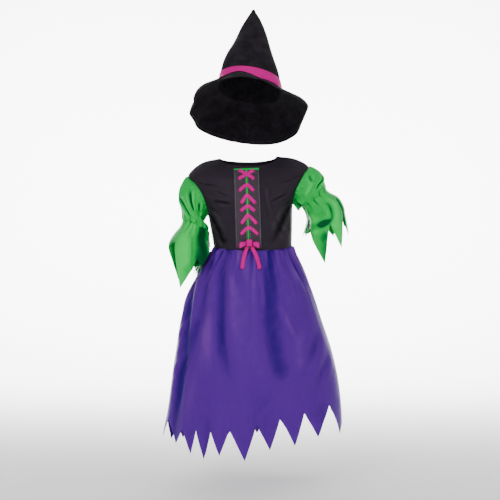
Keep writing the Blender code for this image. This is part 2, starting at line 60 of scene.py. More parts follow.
profile = [(-9.0, FLOOR), (2.0, FLOOR)]
profile += [
    (2.0 + 1.5 * math.sin(math.radians(a)), FLOOR + 1.5 - 1.5 * math.cos(math.radians(a)))
    for a in range(10, 91, 10)
]
profile += [(3.5, 7.0)]
backdrop_mesh = bpy.data.meshes.new("backdrop")
backdrop_mesh.from_pydata(
    [(x, y, z) for y, z in profile for x in (-9, 9)],
    [],
    [(2 * i, 2 * i + 1, 2 * i + 3, 2 * i + 2) for i in range(len(profile) - 1)],
)
backdrop_mesh.shade_smooth()
backdrop = bpy.data.objects.new("backdrop", backdrop_mesh)
bpy.context.scene.collection.objects.link(backdrop)
paper = bpy.data.materials.new("white_paper")
paper.use_nodes = True
paper.node_tree.nodes["Principled BSDF"].inputs["Base Color"].default_value = (0.93, 0.93, 0.93, 1)
paper.node_tree.nodes["Principled BSDF"].inputs["Roughness"].default_value = 0.9
backdrop_mesh.materials.append(paper)

Lamp = namedtuple("Lamp", "name place towards size watts spread")
LAMPS = [
    Lamp("key", (-1.2, -3.1, 1.4), (0, 0, -0.25), 1.3, 68, 180),
    Lamp("fill", (2.3, -2.6, 0.5), (0, 0, -0.3), 1.8, 27, 180),
    Lamp("top", (0.3, -0.2, 2.6), (0, 0, -0.3), 2.0, 14, 180),
    Lamp("behind_left", (-2.8, 1.4, 1.6), (0.6, 3.6, -0.2), 2.0, 230, 80),
    Lamp("behind_right", (2.8, 1.4, 1.6), (-0.6, 3.6, -0.2), 2.0, 230, 80),
]
for lamp in LAMPS:
    light = bpy.data.lights.new(lamp.name, "AREA")
    light.size = lamp.size
    light.energy = lamp.watts
    light.spread = math.radians(lamp.spread)
    made = bpy.data.objects.new(lamp.name, light)
    made.location = lamp.place
    way = Vector(lamp.towards) - Vector(lamp.place)
    made.rotation_euler = way.to_track_quat("-Z", "Y").to_euler()
    bpy.context.scene.collection.objects.link(made)
world = bpy.data.worlds.new("soft_white")
world.use_nodes = True
world.node_tree.nodes["Background"].inputs["Color"].default_value = (1, 1, 1, 1)
world.node_tree.nodes["Background"].inputs["Strength"].default_value = 0.55
bpy.context.scene.world = world


# Bodice: near-black satin with a dropped shoulder, cut as one front and two backs that meet in
# a closure at the centre back. The neck is turned in and topstitched, and the waist is sewn
# over the skirt's gathers.

Bodice = namedtuple(
    "Bodice",
    "left_x left_z right_x right_z front_y front_depth front_z back_y back_depth back_z",
)
BODICE = [
    Bodice(-0.085, -0.203, 0.098, -0.200, 0.000, 0.072, -0.2136, 0.000, 0.068, -0.207),
    Bodice(-0.091, -0.167, 0.099, -0.155, 0.000, 0.078, -0.172, 0.000, 0.070, -0.167),
    Bodice(-0.098, -0.130, 0.100, -0.104, 0.004, 0.083, -0.132, 0.004, 0.075, -0.130),
    Bodice(-0.102, -0.110, 0.103, -0.086, 0.024, 0.083, -0.110, 0.026, 0.077, -0.108),
    Bodice(-0.107, -0.093, 0.107, -0.071, 0.036, 0.081, -0.091, 0.038, 0.077, -0.088),
    Bodice(-0.116, -0.074, 0.117, -0.052, 0.036, 0.077, -0.075, 0.038, 0.075, -0.070),
    Bodice(-0.129, -0.056, 0.128, -0.031, 0.023, 0.072, -0.061, 0.025, 0.071, -0.052),
    Bodice(-0.145, -0.036, 0.136, -0.014, 0.000, 0.067, -0.048, 0.000, 0.065, -0.036),
    Bodice(-0.113, -0.007, 0.104, 0.003, 0.000, 0.060, -0.033, 0.000, 0.057, -0.018),
    Bodice(-0.069, 0.003, 0.062, 0.008, 0.000, 0.053, -0.018, 0.000, 0.049, -0.002),
]
ARMPIT_UP, SHOULDER_UP = 2 / 9, 7 / 9
BODICE_WIDE, BODICE_TALL = 0.11, 0.20  # metres to one unit of across, and of up

# A crease follows a path of places on the cloth. Its width and depth are in metres, a negative
# depth is a ridge, and it fades over those shares of its length.
Crease = namedtuple("Crease", "path width depth fade_in fade_out", defaults=(0.25, 0.4))
FRONT_CREASES = [
    Crease([(0.78, 0.26), (0.55, 0.17), (0.30, 0.04)], 0.0055, 0.0030),
    Crease([(-0.80, 0.24), (-0.62, 0.14), (-0.45, 0.03)], 0.0055, 0.0028),
    Crease([(-0.75, 0.40), (-0.50, 0.38), (-0.30, 0.34)], 0.0040, 0.0020),
    Crease([(0.70, 0.44), (0.52, 0.41), (0.35, 0.36)], 0.0040, 0.0018),
    Crease([(0.26, 0.62), (0.31, 0.40), (0.34, 0.10)], 0.0035, -0.0011),
    Crease([(0.88, 0.36), (0.72, 0.30), (0.58, 0.27)], 0.0030, 0.0014),
    Crease([(-0.86, 0.34), (-0.66, 0.27), (-0.50, 0.25)], 0.0030, 0.0014),
    Crease([(-0.60, 0.56), (-0.48, 0.49), (-0.36, 0.47)], 0.0028, 0.0011),
    Crease([(-0.70, 0.10), (-0.52, 0.06), (-0.36, 0.08)], 0.0028, 0.0011),
    Crease([(0.62, 0.08), (0.48, 0.13), (0.38, 0.20)], 0.0028, 0.0011),
    Crease([(-0.95, 0.74), (-0.70, 0.66), (-0.45, 0.63)], 0.0050, 0.0013),
    Crease([(0.95, 0.74), (0.66, 0.67), (0.42, 0.66)], 0.0050, 0.0012),
]
BACK_CREASES = [
    Crease([(0.85, 0.26), (0.60, 0.16), (0.34, 0.05)], 0.0055, 0.0024),
    Crease([(-0.82, 0.25), (-0.60, 0.18), (-0.30, 0.07)], 0.0055, 0.0024),
    Crease([(0.70, 0.45), (0.44, 0.40), (0.16, 0.41)], 0.0040, 0.0016),
    Crease([(-0.74, 0.42), (-0.46, 0.36), (-0.14, 0.36)], 0.0040, 0.0016),
    Crease([(0.55, 0.14), (0.30, 0.22), (0.10, 0.24)], 0.0034, 0.0013),
    Crease([(-0.50, 0.10), (-0.32, 0.12), (-0.12, 0.19)], 0.0034, 0.0013),
    Crease([(-0.90, 0.72), (-0.60, 0.62), (-0.30, 0.60)], 0.0050, 0.0013),
    Crease([(0.92, 0.70), (0.64, 0.64), (0.36, 0.65)], 0.0050, 0.0012),
]


def between(a, b, share):
    return a + (b - a) * share


def smooth(share):
    share = np.clip(share, 0, 1)
    return share * share * (3 - 2 * share)


def bell(distance):
    return np.exp(-distance * distance)


def curve(points, share):
    """Places on a smooth curve through points, at those shares of the way along it."""
    points = np.asarray(points, float)
    last = len(points) - 1
    place = np.clip(share, 0, 1) * last
    i = np.minimum(place.astype(int), last - 1)
    f = (place - i)[..., None]
    before, a, b, after = (points[np.clip(i + k, 0, last)] for k in (-1, 0, 1, 2))
    slope_a, slope_b, rise = (b - before) / 2, (after - a) / 2, b - a
    bend = f * (slope_a + slope_b - 2 * rise)
    return a + f * (slope_a + f * (3 * rise - 2 * slope_a - slope_b + bend))


def along(table, share):
    """A table's columns at those shares of the way through its rows."""
    return type(table[0])(*np.moveaxis(curve(table, np.asarray(share, float)), -1, 0))


def creased(creases, across, down, unit, full_turn=None, widen=1.0):
    """How far creases draw the cloth in at places across and down, each with soft ridges along
    both its sides. unit is the metres to one unit of across and of down."""
    across, down = np.broadcast_arrays(np.asarray(across, float), np.asarray(down, float))
    depth = np.zeros(across.shape)
    for crease in creases:
        path = curve(crease.path, np.linspace(0, 1, 4 * len(crease.path)))
        nearest, passed = np.full(across.shape, np.inf), np.zeros(across.shape)
        for k, (start, end) in enumerate(zip(path, path[1:])):
            aside = across - start[0]
            if full_turn:
                aside = (aside + full_turn / 2) % full_turn - full_turn / 2
            x, y = aside * unit[0], (down - start[1]) * unit[1]
            way_x, way_y = (end[0] - start[0]) * unit[0], (end[1] - start[1]) * unit[1]
            share = np.clip((x * way_x + y * way_y) / (way_x**2 + way_y**2), 0, 1)
            away = np.hypot(x - way_x * share, y - way_y * share)
            passed = np.where(away < nearest, (k + share) / (len(path) - 1), passed)
            nearest = np.minimum(nearest, away)
        fade = smooth(passed / max(crease.fade_in, 0.01))
        fade = fade * smooth((1 - passed) / max(crease.fade_out, 0.01))
        width = crease.width * widen
        ridges = 0.5 * bell((nearest - 1.9 * width) / width)
        depth += crease.depth * fade * (bell(nearest / width) - ridges)
    return depth


def bodice_form(face, across, up):
    """The bodice before its creases: face is -1 in front and 1 behind, across runs from -1 to 1
    and up from 0 at the waist to 1 at the neck."""
    across, up = np.broadcast_arrays(np.asarray(across, float), np.asarray(up, float))
    row = along(BODICE, up)
    if face < 0:
        edge_y, depth, middle_z = row.front_y, row.front_depth, row.front_z
    else:
        edge_y, depth, middle_z = row.back_y, row.back_depth, row.back_z
    widest = np.arccos(np.maximum(edge_y, 0) / depth)
    turn = across * widest
    middle, half = (row.left_x + row.right_x) / 2, (row.right_x - row.left_x) / 2
    edge_z = np.where(across > 0, row.right_z, row.left_z)
    x = middle + half * np.sin(turn) / np.sin(widest)
    z = between(middle_z, edge_z, across**2)
    return np.stack([x, face * depth * np.cos(turn), z], -1)


def bodice_point(face, across, up):
    creases = FRONT_CREASES if face < 0 else BACK_CREASES
    unit = (BODICE_WIDE, BODICE_TALL)
    inward = creased(creases, across, up, unit) * smooth((1 - np.abs(across)) / 0.15)
    point = bodice_form(face, across, up)
    point[..., 1] -= face * inward
    return point


def normals(points):
    """Outward normals of a sheet whose rows go down and whose columns go from -X to +X by way
    of the front."""
    out = np.cross(np.gradient(points, axis=0), np.gradient(points, axis=1))
    return out / np.maximum(np.linalg.norm(out, axis=-1, keepdims=True), 1e-12)


def cloth(name, nodes, points, finish, wall, painted_shade_and_highlight=0.0, sharp_top=False):
    """A sheet of cloth through rows of points. Its "thread" attribute holds the metres across
    and down it, and a value from -1 in a valley to 1 on a ridge, for its material's painted
    shade towards -1 and painted highlight towards 1."""
    rows, columns = points.shape[:2]
    steps_across = np.linalg.norm(np.diff(points, axis=1), axis=-1)
    steps_down = np.linalg.norm(np.diff(points, axis=0), axis=-1)
    thread = np.zeros(points.shape)
    thread[:, 1:, 0] = np.cumsum(steps_across, axis=1)
    thread[..., 0] -= thread[:, columns // 2, None, 0]
    thread[1:, :, 1] = np.cumsum(steps_down, axis=0)
    thread[..., 2] = painted_shade_and_highlight
    i = np.arange(rows - 1)[:, None] * columns + np.arange(columns - 1)
    faces = np.stack([i, i + columns, i + columns + 1, i + 1], -1).reshape(-1, 4)
    name = f"{name}_ribbon" if finish.name == "ribbon_pink" else f"{name}_cloth"
    mesh = bpy.data.meshes.new(name)
    mesh.from_pydata(points.reshape(-1, 3).tolist(), [], faces.tolist())
    layer = mesh.attributes.new("thread", "FLOAT_VECTOR", "POINT")
    layer.data.foreach_set("vector", thread.reshape(-1))
    if sharp_top:
        bm = bmesh.new()
        bm.from_mesh(mesh)
        bm.verts.ensure_lookup_table()
        bmesh.ops.remove_doubles(bm, verts=bm.verts[:columns], dist=1e-5)
        bm.to_mesh(mesh)
        bm.free()
    mesh.shade_smooth()
    mesh.materials.append(finish)
    made = bpy.data.objects.new(name, mesh)
    bpy.context.scene.collection.objects.link(made)
    solidify = made.modifiers.new("Wall", "SOLIDIFY")
    solidify.thickness = wall
    solidify.offset = 0
    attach(made, "root")
    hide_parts(*nodes)
    return made


class Wire:
    """An output in a material's nodes. Arithmetic on it adds Math nodes, and node() any other."""

    def __init__(self, tree, output=None):
        self.tree, self.output = tree, output

    def node(self, kind, settings=None, inputs=None, output=0):
        made = self.tree.nodes.new("ShaderNode" + kind)
        for key, value in (settings or {}).items():
            setattr(made, key, value)
        for key, value in (inputs or {}).items():
            if isinstance(value, Wire):
                self.tree.links.new(value.output, made.inputs[key])
            else:
                made.inputs[key].default_value = value
        return Wire(self.tree, made.outputs[output])

    def math(self, operation, *values):
        return self.node("Math", {"operation": operation}, dict(enumerate(values)))

    def __add__(self, other):
        return self.math("ADD", self, other)

    def __sub__(self, other):
        return self.math("SUBTRACT", self, other)

    def __rsub__(self, other):
        return self.math("SUBTRACT", other, self)

    def __mul__(self, other):
        return self.math("MULTIPLY", self, other)

    def __pow__(self, other):
        return self.math("POWER", self, other)

    __radd__ = __add__
    __rmul__ = __mul__

    def ramp(self, low, high):
        """0 below low and 1 above high, with a soft rise between."""
        limits = {"Value": self, "From Min": low, "From Max": high}
        return self.node("MapRange", {"interpolation_type": "SMOOTHSTEP"}, limits)

    def mix(self, a, b):
        """The colour a where this is 0, and b where it is 1."""
        return self.node("Mix", {"data_type": "RGBA"}, {0: self, 6: a, 7: b}, output=2)


def new_finish(name):
    """A new material's own shader, and a wire to start its nodes from."""
    material = bpy.data.materials.new(name)
    material.use_nodes = True
    return material, material.node_tree.nodes["Principled BSDF"], Wire(material.node_tree)


def noise(wire, place, scale, detail=3, distortion=0.0):
    inputs = {"Vector": place, "Scale": scale, "Detail": detail, "Distortion": distortion}
    return wire.node("TexNoise", inputs=inputs)


def stretched(wire, place, size):
    settings = {"operation": "MULTIPLY"}
    return wire.node("VectorMath", settings, {0: place, 1: size})


def satin(name, valley, plain, ridge, gloss, roughness, crumple):
    """Polyester satin: its colour is darkened in the folds as painted shade and paled on their
    ridges as painted highlight, fine warp threads run down it, and it is faintly crumpled."""
    material, shader, start = new_finish(name)
    thread = start.node("Attribute", {"attribute_name": "thread"}, output="Vector")
    painted_shade_and_highlight = start.node("SeparateXYZ", inputs={0: thread}, output=2)
    flat = stretched(start, thread, (1, 1, 0))
    mottle = noise(start, flat, 38, 3, 0.4)
    warp = noise(start, stretched(start, flat, (2600, 90, 0)), 1, 2)
    weft = noise(start, stretched(start, flat, (160, 3200, 0)), 1, 1)
    tone = painted_shade_and_highlight + 0.35 * (mottle - 0.5) + 0.10 * (warp - 0.5)
    # The valley colour is painted shade in the folds and the ridge colour painted highlight on their ridges; the
    # mottle and warp add a random tone.
    colour = tone.ramp(-0.75, 0.05).mix(valley, plain)
    colour = tone.ramp(0.10, 0.85).mix(colour, ridge)
    crumples = noise(start, flat, 55, 2, 1.2) + 0.45 * noise(start, flat, 140, 2, 0.8)
    threads = warp + 0.6 * weft
    soft = start.node("Bump", inputs={"Strength": 1.0, "Distance": crumple, "Height": crumples})
    fine = {"Strength": 0.25, "Distance": 0.0002, "Height": threads, "Normal": soft}
    bump = start.node("Bump", inputs=fine)
    links = material.node_tree.links
    links.new(colour.output, shader.inputs["Base Color"])
    links.new((roughness + 0.10 * (warp - 0.5) + 0.08 * (mottle - 0.5)).output, shader.inputs["Roughness"])
    links.new(bump.output, shader.inputs["Normal"])
    shader.inputs["Specular IOR Level"].default_value = gloss[3]
    shader.inputs["Specular Tint"].default_value = (*gloss[:3], 1)
    return material


def stitches(name, lines, finish, long=0.0026, gap=0.0016, thick=0.00045):
    """Rows of machine stitches, each a small plump grain of thread. A line is its points and
    the cloth's normals there."""
    points, faces = [], []
    ring = [(math.cos(math.tau * k / 6), math.sin(math.tau * k / 6)) for k in range(6)]
    rings = [(-0.5, 0.3), (-0.36, 0.85), (0.0, 1.0), (0.36, 0.85), (0.5, 0.3)]
    for line, out in lines:
        passed = np.concatenate([[0], np.cumsum(np.linalg.norm(np.diff(line, axis=0), axis=1))])
        middles = np.arange(long, passed[-1] - long / 2, long + gap)
        ends = [
            np.stack([np.interp(middles + s * long, passed, line[:, k]) for k in range(3)], -1)
            for s in (-0.5, 0.5)
        ]
        ups = np.stack([np.interp(middles, passed, out[:, k]) for k in range(3)], -1)
        for a, b, up in zip(*ends, ups):
            way = b - a
            side = np.cross(way, up)
            side /= np.linalg.norm(side)
            up = up / np.linalg.norm(up)
            first = len(points)
            for share, size in rings:
                middle = (a + b) / 2 + way * share + up * thick * 0.25 * size
                points += [tuple(middle + (side * c + up * s) * thick * size) for c, s in ring]
            for r in range(len(rings) - 1):
                for k in range(6):
                    low, high = first + 6 * r, first + 6 * (r + 1)
                    faces.append((low + k, low + (k + 1) % 6, high + (k + 1) % 6, high + k))
            faces.append(tuple(first + k for k in reversed(range(6))))
            faces.append(tuple(first + 6 * (len(rings) - 1) + k for k in range(6)))
    mesh = bpy.data.meshes.new(name)
    mesh.from_pydata(points, [], faces)
    mesh.shade_smooth()
    mesh.materials.append(finish)
    made = bpy.data.objects.new(name, mesh)
    bpy.context.scene.collection.objects.link(made)
    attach(made, "root")
    return made


def thread_finish(name, colour):
    """Polyester sewing thread, with its twist."""
    material, shader, start = new_finish(name)
    place = start.node("TexCoord", output="Object")
    twist = noise(start, place, 2400, 2)
    tint = twist.ramp(0.3, 0.7).mix([c * 0.6 for c in colour[:3]] + [1], colour)
    bump = start.node("Bump", inputs={"Strength": 0.5, "Distance": 0.0001, "Height": twist})
    material.node_tree.links.new(tint.output, shader.inputs["Base Color"])
    material.node_tree.links.new(bump.output, shader.inputs["Normal"])
    shader.inputs["Roughness"].default_value = 0.55
    return material


BODICE_SATIN = satin(
    "bodice_satin",
    (0.0050, 0.0038, 0.0055, 1),
    (0.0215, 0.0165, 0.0240, 1),
    (0.0410, 0.0330, 0.0440, 1),
    (1.0, 0.85, 1.0, 0.07),
    0.50,
    0.0006,
)
BLACK_THREAD = thread_finish("black_thread", (0.020, 0.018, 0.022, 1))


def bodice_panel(name, face, left, right, columns, lap=0.0):
    """A panel of the bodice from the neck down, plump where the neck is turned in. lap is how
    far it runs on under the other half at the centre back."""
    up = np.linspace(1, 0, 96)[:, None]
    across = np.linspace(left - lap, right, columns)
    across = across if face < 0 else across[::-1]
    points = bodice_point(face, across[None], up)
    unit = (BODICE_WIDE, BODICE_TALL)
    depth = creased(FRONT_CREASES if face < 0 else BACK_CREASES, across[None], up, unit)
    plump = 0.0004 * smooth((up - 0.965) / 0.01)
    under = 0.0016 * smooth((left + 0.02 - across[None]) / 0.03) if lap else 0
    points += normals(points) * (plump - under)[..., None]
    # The creases' depth also paints the satin: painted shade in each crease and painted highlight on the ridges
    # beside it.
    made = cloth(name, [name], points, BODICE_SATIN, 0.0012, -depth / 0.003)
    return made


def bodice_line(face, across, up, out=0.0010):
    """A line over the bodice as points and normals, for stitches."""
    across, up = np.broadcast_arrays(np.asarray(across, float), np.asarray(up, float))
    here = bodice_point(face, across, up)
    right = bodice_point(face, across + 0.002, up) - here
    top = bodice_point(face, across, up + 0.002) - here
    normal = np.cross(right, top) * -face
    normal /= np.linalg.norm(normal, axis=-1, keepdims=True)
    return here + normal * out, normal


bodice_panel("bodice_front", -1, -0.998, 0.998, 190)
bodice_panel("bodice_back_right", 1, -0.998, -0.002, 96)
bodice_panel("bodice_back_left", 1, 0.002, 0.998, 96, 0.07)

neck_turns = np.linspace(-0.985, 0.985, 400)
closing = np.linspace(0.03, 0.95, 200)
stitches(
    "bodice_stitches",
    [
        bodice_line(-1, neck_turns, 0.968),
        bodice_line(1, np.linspace(-0.985, -0.02, 200), 0.968),
        bodice_line(1, np.linspace(0.02, 0.985, 200), 0.968),
        bodice_line(1, -0.012, closing),
        bodice_line(1, -0.075, closing),
        bodice_line(1, 0.012, closing),
        bodice_line(1, 0.075, closing),
    ],
    BLACK_THREAD,
)


# Lacing: two grey satin panels lie edge to edge over a green inset on the bodice, topstitched
# along both edges. Pink ribbon crosses the slit in rows, and ties in a bow at the waist.

CLOTH, RIBBON, SEAM_GAP = 0.0014, 0.0010, 0.0003
LACING_WIDTH, LACING_SLIT, LACING_LEAN = 0.058, 0.004, 0.006
LACING_MIDDLE, LACING_LOW, LACING_HIGH = -0.0085, -0.2085, -0.0285
INSET_OUT = CLOTH + SEAM_GAP
PANEL_OUT = INSET_OUT + RIBBON + SEAM_GAP
RIBBON_OUT = PANEL_OUT + RIBBON + SEAM_GAP
RIBBON_WIDTH = 0.0078

Lace = namedtuple("Lace", "x z left right drop")
LACES = [
    Lace(-0.0065, -0.0640, 0.0185, 0.0150, 0.0140),
    Lace(-0.0070, -0.0880, 0.0130, 0.0195, 0.0180),
    Lace(-0.0050, -0.1120, 0.0160, 0.0155, 0.0115),
    Lace(-0.0045, -0.1330, 0.0150, 0.0200, 0.0190),
    Lace(-0.0030, -0.1600, 0.0175, 0.0215, 0.0165),
]
CROSS_MIDDLE, CROSS_HALF = (-0.0085, -0.0395), (0.0180, 0.0105)
BOW_MIDDLE = (-0.0010, -0.1950)


def on_bodice(x, z, out):
    """The places of the front bodice seen at x and z from in front, moved out from the cloth."""
    x, z = np.broadcast_arrays(np.asarray(x, float), np.asarray(z, float))
    across, up, step = np.zeros(x.shape), np.full(x.shape, 0.5), 0.001
    for _ in range(12):
        here = bodice_form(-1, across, up)
        per_across = (bodice_form(-1, across + step, up)[..., 0] - here[..., 0]) / step
        per_up = (bodice_form(-1, across, up + step)[..., 2] - here[..., 2]) / step
        across = across + (x - here[..., 0]) / per_across
        up = np.clip(up + (z - here[..., 2]) / per_up, 0, 1 - step)
    here = bodice_point(-1, across, up)
    right = bodice_point(-1, across + step, up) - here
    top = bodice_point(-1, across, up + step) - here
    normal = np.cross(right, top)
    normal /= np.linalg.norm(normal, axis=-1, keepdims=True)
    return here + normal * np.asarray(out)[..., None]


def laid(corners, out, columns, rows, edge=0.0015, turned=0.0005):
    """A flat piece laid on the bodice from its four corners: bottom left, bottom right, top
    left, top right, as (x, z). Its edges are pressed down."""
    bottom_left, bottom_right, top_left, top_right = (np.array(c) for c in corners)
    share = np.linspace(1, 0, rows)[:, None, None]
    left = between(bottom_left, top_left, share)
    right = between(bottom_right, top_right, share)
    across = np.linspace(0, 1, columns)[None, :, None]
    place = between(left, right, across)
    wide = np.linalg.norm(bottom_right - bottom_left)
    pressed = np.maximum(bell(across * wide / edge), bell((1 - across) * wide / edge))[..., 0]
    return on_bodice(place[..., 0], place[..., 1], out - turned * pressed)


PANEL_SATIN = satin(
    "panel_satin",
    (0.024, 0.018, 0.025, 1),
    (0.045, 0.034, 0.046, 1),
    (0.070, 0.058, 0.072, 1),
    (1.0, 0.90, 1.0, 0.12),
    0.55,
    0.0004,
)
GREEN_SATIN = satin(
    "green_satin",
    (0.000, 0.070, 0.020, 1),
    (0.000, 0.420, 0.060, 1),
    (0.018, 0.610, 0.090, 1),
    (0.30, 1.0, 0.36, 0.12),
    0.36,
    0.0005,
)
PALE_THREAD = thread_finish("pale_thread", (0.24, 0.22, 0.25, 1))

half_lacing = LACING_WIDTH / 2
low_middle = LACING_MIDDLE + LACING_LEAN
inset_corners = [
    (low_middle - half_lacing, LACING_LOW),
    (low_middle + half_lacing, LACING_LOW),
    (LACING_MIDDLE - half_lacing, LACING_HIGH + 0.0035),
    (LACING_MIDDLE + half_lacing, LACING_HIGH + 0.0055),
]
inset_points = laid(inset_corners, INSET_OUT, 60, 160)
inset = cloth("lacing_inset", ["lacing_inset"], inset_points, GREEN_SATIN, 0.0009)

panel_lines = []
for side, name in ((-1, "right"), (1, "left")):
    near, far = sorted((side * LACING_SLIT / 2, side * half_lacing))
    corners = [
        (low_middle + near, LACING_LOW),
        (low_middle + far, LACING_LOW),
        (LACING_MIDDLE + near, LACING_HIGH),
        (LACING_MIDDLE + far, LACING_HIGH),
    ]
    points = laid(corners, PANEL_OUT, 40, 160)
    node = f"lacing_panel_{name}"
    panel = cloth(node, [node], points, PANEL_SATIN, 0.0009)
    share = np.linspace(0.02, 0.985, 300)[:, None]
    bottom_left, bottom_right, top_left, top_right = (np.array(c) for c in corners)
    for inset_by in (0.0026, 0.0252):
        mix = inset_by / 0.027
        line = between(
            between(bottom_left, bottom_right, mix), between(top_left, top_right, mix), share
        )
        seen = on_bodice(line[:, 0], line[:, 1], PANEL_OUT + 0.0006)
        deeper = on_bodice(line[:, 0], line[:, 1], PANEL_OUT)
        panel_lines.append((seen, (seen - deeper) / 0.0006))
stitches("lacing_stitches", panel_lines, PALE_THREAD, 0.0024, 0.0013, 0.00042)


def ribbon_finish(name, dark, plain, pale):
    """Woven polyester ribbon with fine crosswise ribs and a firm edge, darkened as painted shade
    and paled as painted highlight by the sheet's thread attribute.
    """
    material, shader, start = new_finish(name)
    thread = start.node("Attribute", {"attribute_name": "thread"}, output="Vector")
    painted_shade_and_highlight = start.node("SeparateXYZ", inputs={0: thread}, output=2)
    flat = stretched(start, thread, (1, 1, 0))
    down = start.node("SeparateXYZ", inputs={0: thread}, output=1)
    rib = (down * (math.tau / 0.0009)).math("SINE", down * (math.tau / 0.0009))
    mottle = noise(start, flat, 160, 3)
    tone = painted_shade_and_highlight + 0.4 * (mottle - 0.5)
    # The dark colour is painted shade and the pale colour painted highlight; the mottle adds a random tone.
    colour = tone.ramp(-0.9, 0.0).mix(dark, plain)
    colour = tone.ramp(0.2, 0.9).mix(colour, pale)
    height = rib * 0.5 + mottle * 1.5
    bump = start.node("Bump", inputs={"Strength": 0.5, "Distance": 0.0003, "Height": height})
    links = material.node_tree.links
    links.new(colour.output, shader.inputs["Base Color"])
    links.new((0.50 + 0.12 * (mottle - 0.5)).output, shader.inputs["Roughness"])
    links.new(bump.output, shader.inputs["Normal"])
    shader.inputs["Specular IOR Level"].default_value = 0.1
    shader.inputs["Specular Tint"].default_value = (1.0, 0.1, 0.6, 1)
    return material


RIBBON_PINK = ribbon_finish(
    "ribbon_pink", (0.28, 0.0, 0.12, 1), (0.56, 0.0, 0.22, 1), (0.70, 0.0, 0.28, 1)
)


def ribbon(name, path, out, place=on_bodice, width=RIBBON_WIDTH, lift=0.0, ends=0.0012):
    """A ribbon along a path of (x, z) points. It is slightly arched across, lift raises its
    middle, and its ends are rounded and dip by ends where they go through the cloth."""
    share = np.linspace(0, 1, 70)
    line = curve(path, share)
    way = np.gradient(line, axis=0)
    way /= np.linalg.norm(way, axis=1, keepdims=True)
    side = np.stack([way[:, 1], -way[:, 0]], -1)
    length = np.linalg.norm(np.diff(line, axis=0), axis=1).sum()
    from_end = np.minimum(share, 1 - share) * length
    rounded = np.sqrt(1 - (1 - np.clip(from_end / (width * 0.45), 0.02, 1)) ** 2)
    half = width / 2 * between(0.55, 1, rounded)
    across = np.linspace(-1, 1, 11)
    spots = line[:, None] + side[:, None] * (half[:, None] * across)[..., None]
    arch = 0.0005 * (1 - across**2)[None] - ends * bell(from_end / 0.003)[:, None]
    raised = out + arch + lift * smooth(2 - 4 * np.abs(share - 0.5))[:, None]
    points = place(spots[..., 0], spots[..., 1], raised)
    # Painted shade where the ends dip into the cloth, and darker along both edges.
    painted_shade_and_highlight = between(0.35, -0.5, bell(from_end / 0.004))[:, None] - 0.5 * across[None] ** 4
    made = cloth(name, [name], points, RIBBON_PINK, 0.0007, painted_shade_and_highlight)
    return made


for number, lace in enumerate(LACES, 1):
    top = np.array((lace.x, lace.z))
    left, right = np.array((-lace.left, -lace.drop)), np.array((lace.right, -lace.drop))
    rise = np.array((0, 0.0015))
    path = [top + left, top + left * 0.5 + rise, top, top + right * 0.5 + rise, top + right]
    ribbon(f"lace_row_{number}", path, RIBBON_OUT)
cross = np.array(CROSS_MIDDLE)
half_cross = np.array(CROSS_HALF)
mirrored = half_cross * (1, -1)
ribbon("lace_cross_under", [cross - half_cross, cross, cross + half_cross], RIBBON_OUT)
ribbon(
    "lace_cross_over",
    [cross - mirrored, cross - mirrored / 2, cross, cross + mirrored / 2, cross + mirrored],
    RIBBON_OUT,
    lift=0.0017,
)


# Skirt: shiny purple satin, a front and a back gathered on to the waist. It hangs in soft deep
# folds to a hem cut in long points, left raw.

SKIRT_DROP = 0.48

Skirt = namedtuple("Skirt", "left_x right_x front_depth back_depth")
SKIRT = [
    Skirt(-0.0850, 0.0980, 0.0720, 0.0680),
    Skirt(-0.1190, 0.1240, 0.0930, 0.0940),
    Skirt(-0.1450, 0.1470, 0.1090, 0.1120),
    Skirt(-0.1620, 0.1670, 0.1210, 0.1260),
    Skirt(-0.1720, 0.1880, 0.1310, 0.1370),
    Skirt(-0.1820, 0.2035, 0.1400, 0.1470),
    Skirt(-0.1900, 0.2130, 0.1470, 0.1540),
    Skirt(-0.1980, 0.2165, 0.1520, 0.1600),
    Skirt(-0.2060, 0.2155, 0.1560, 0.1640),
]
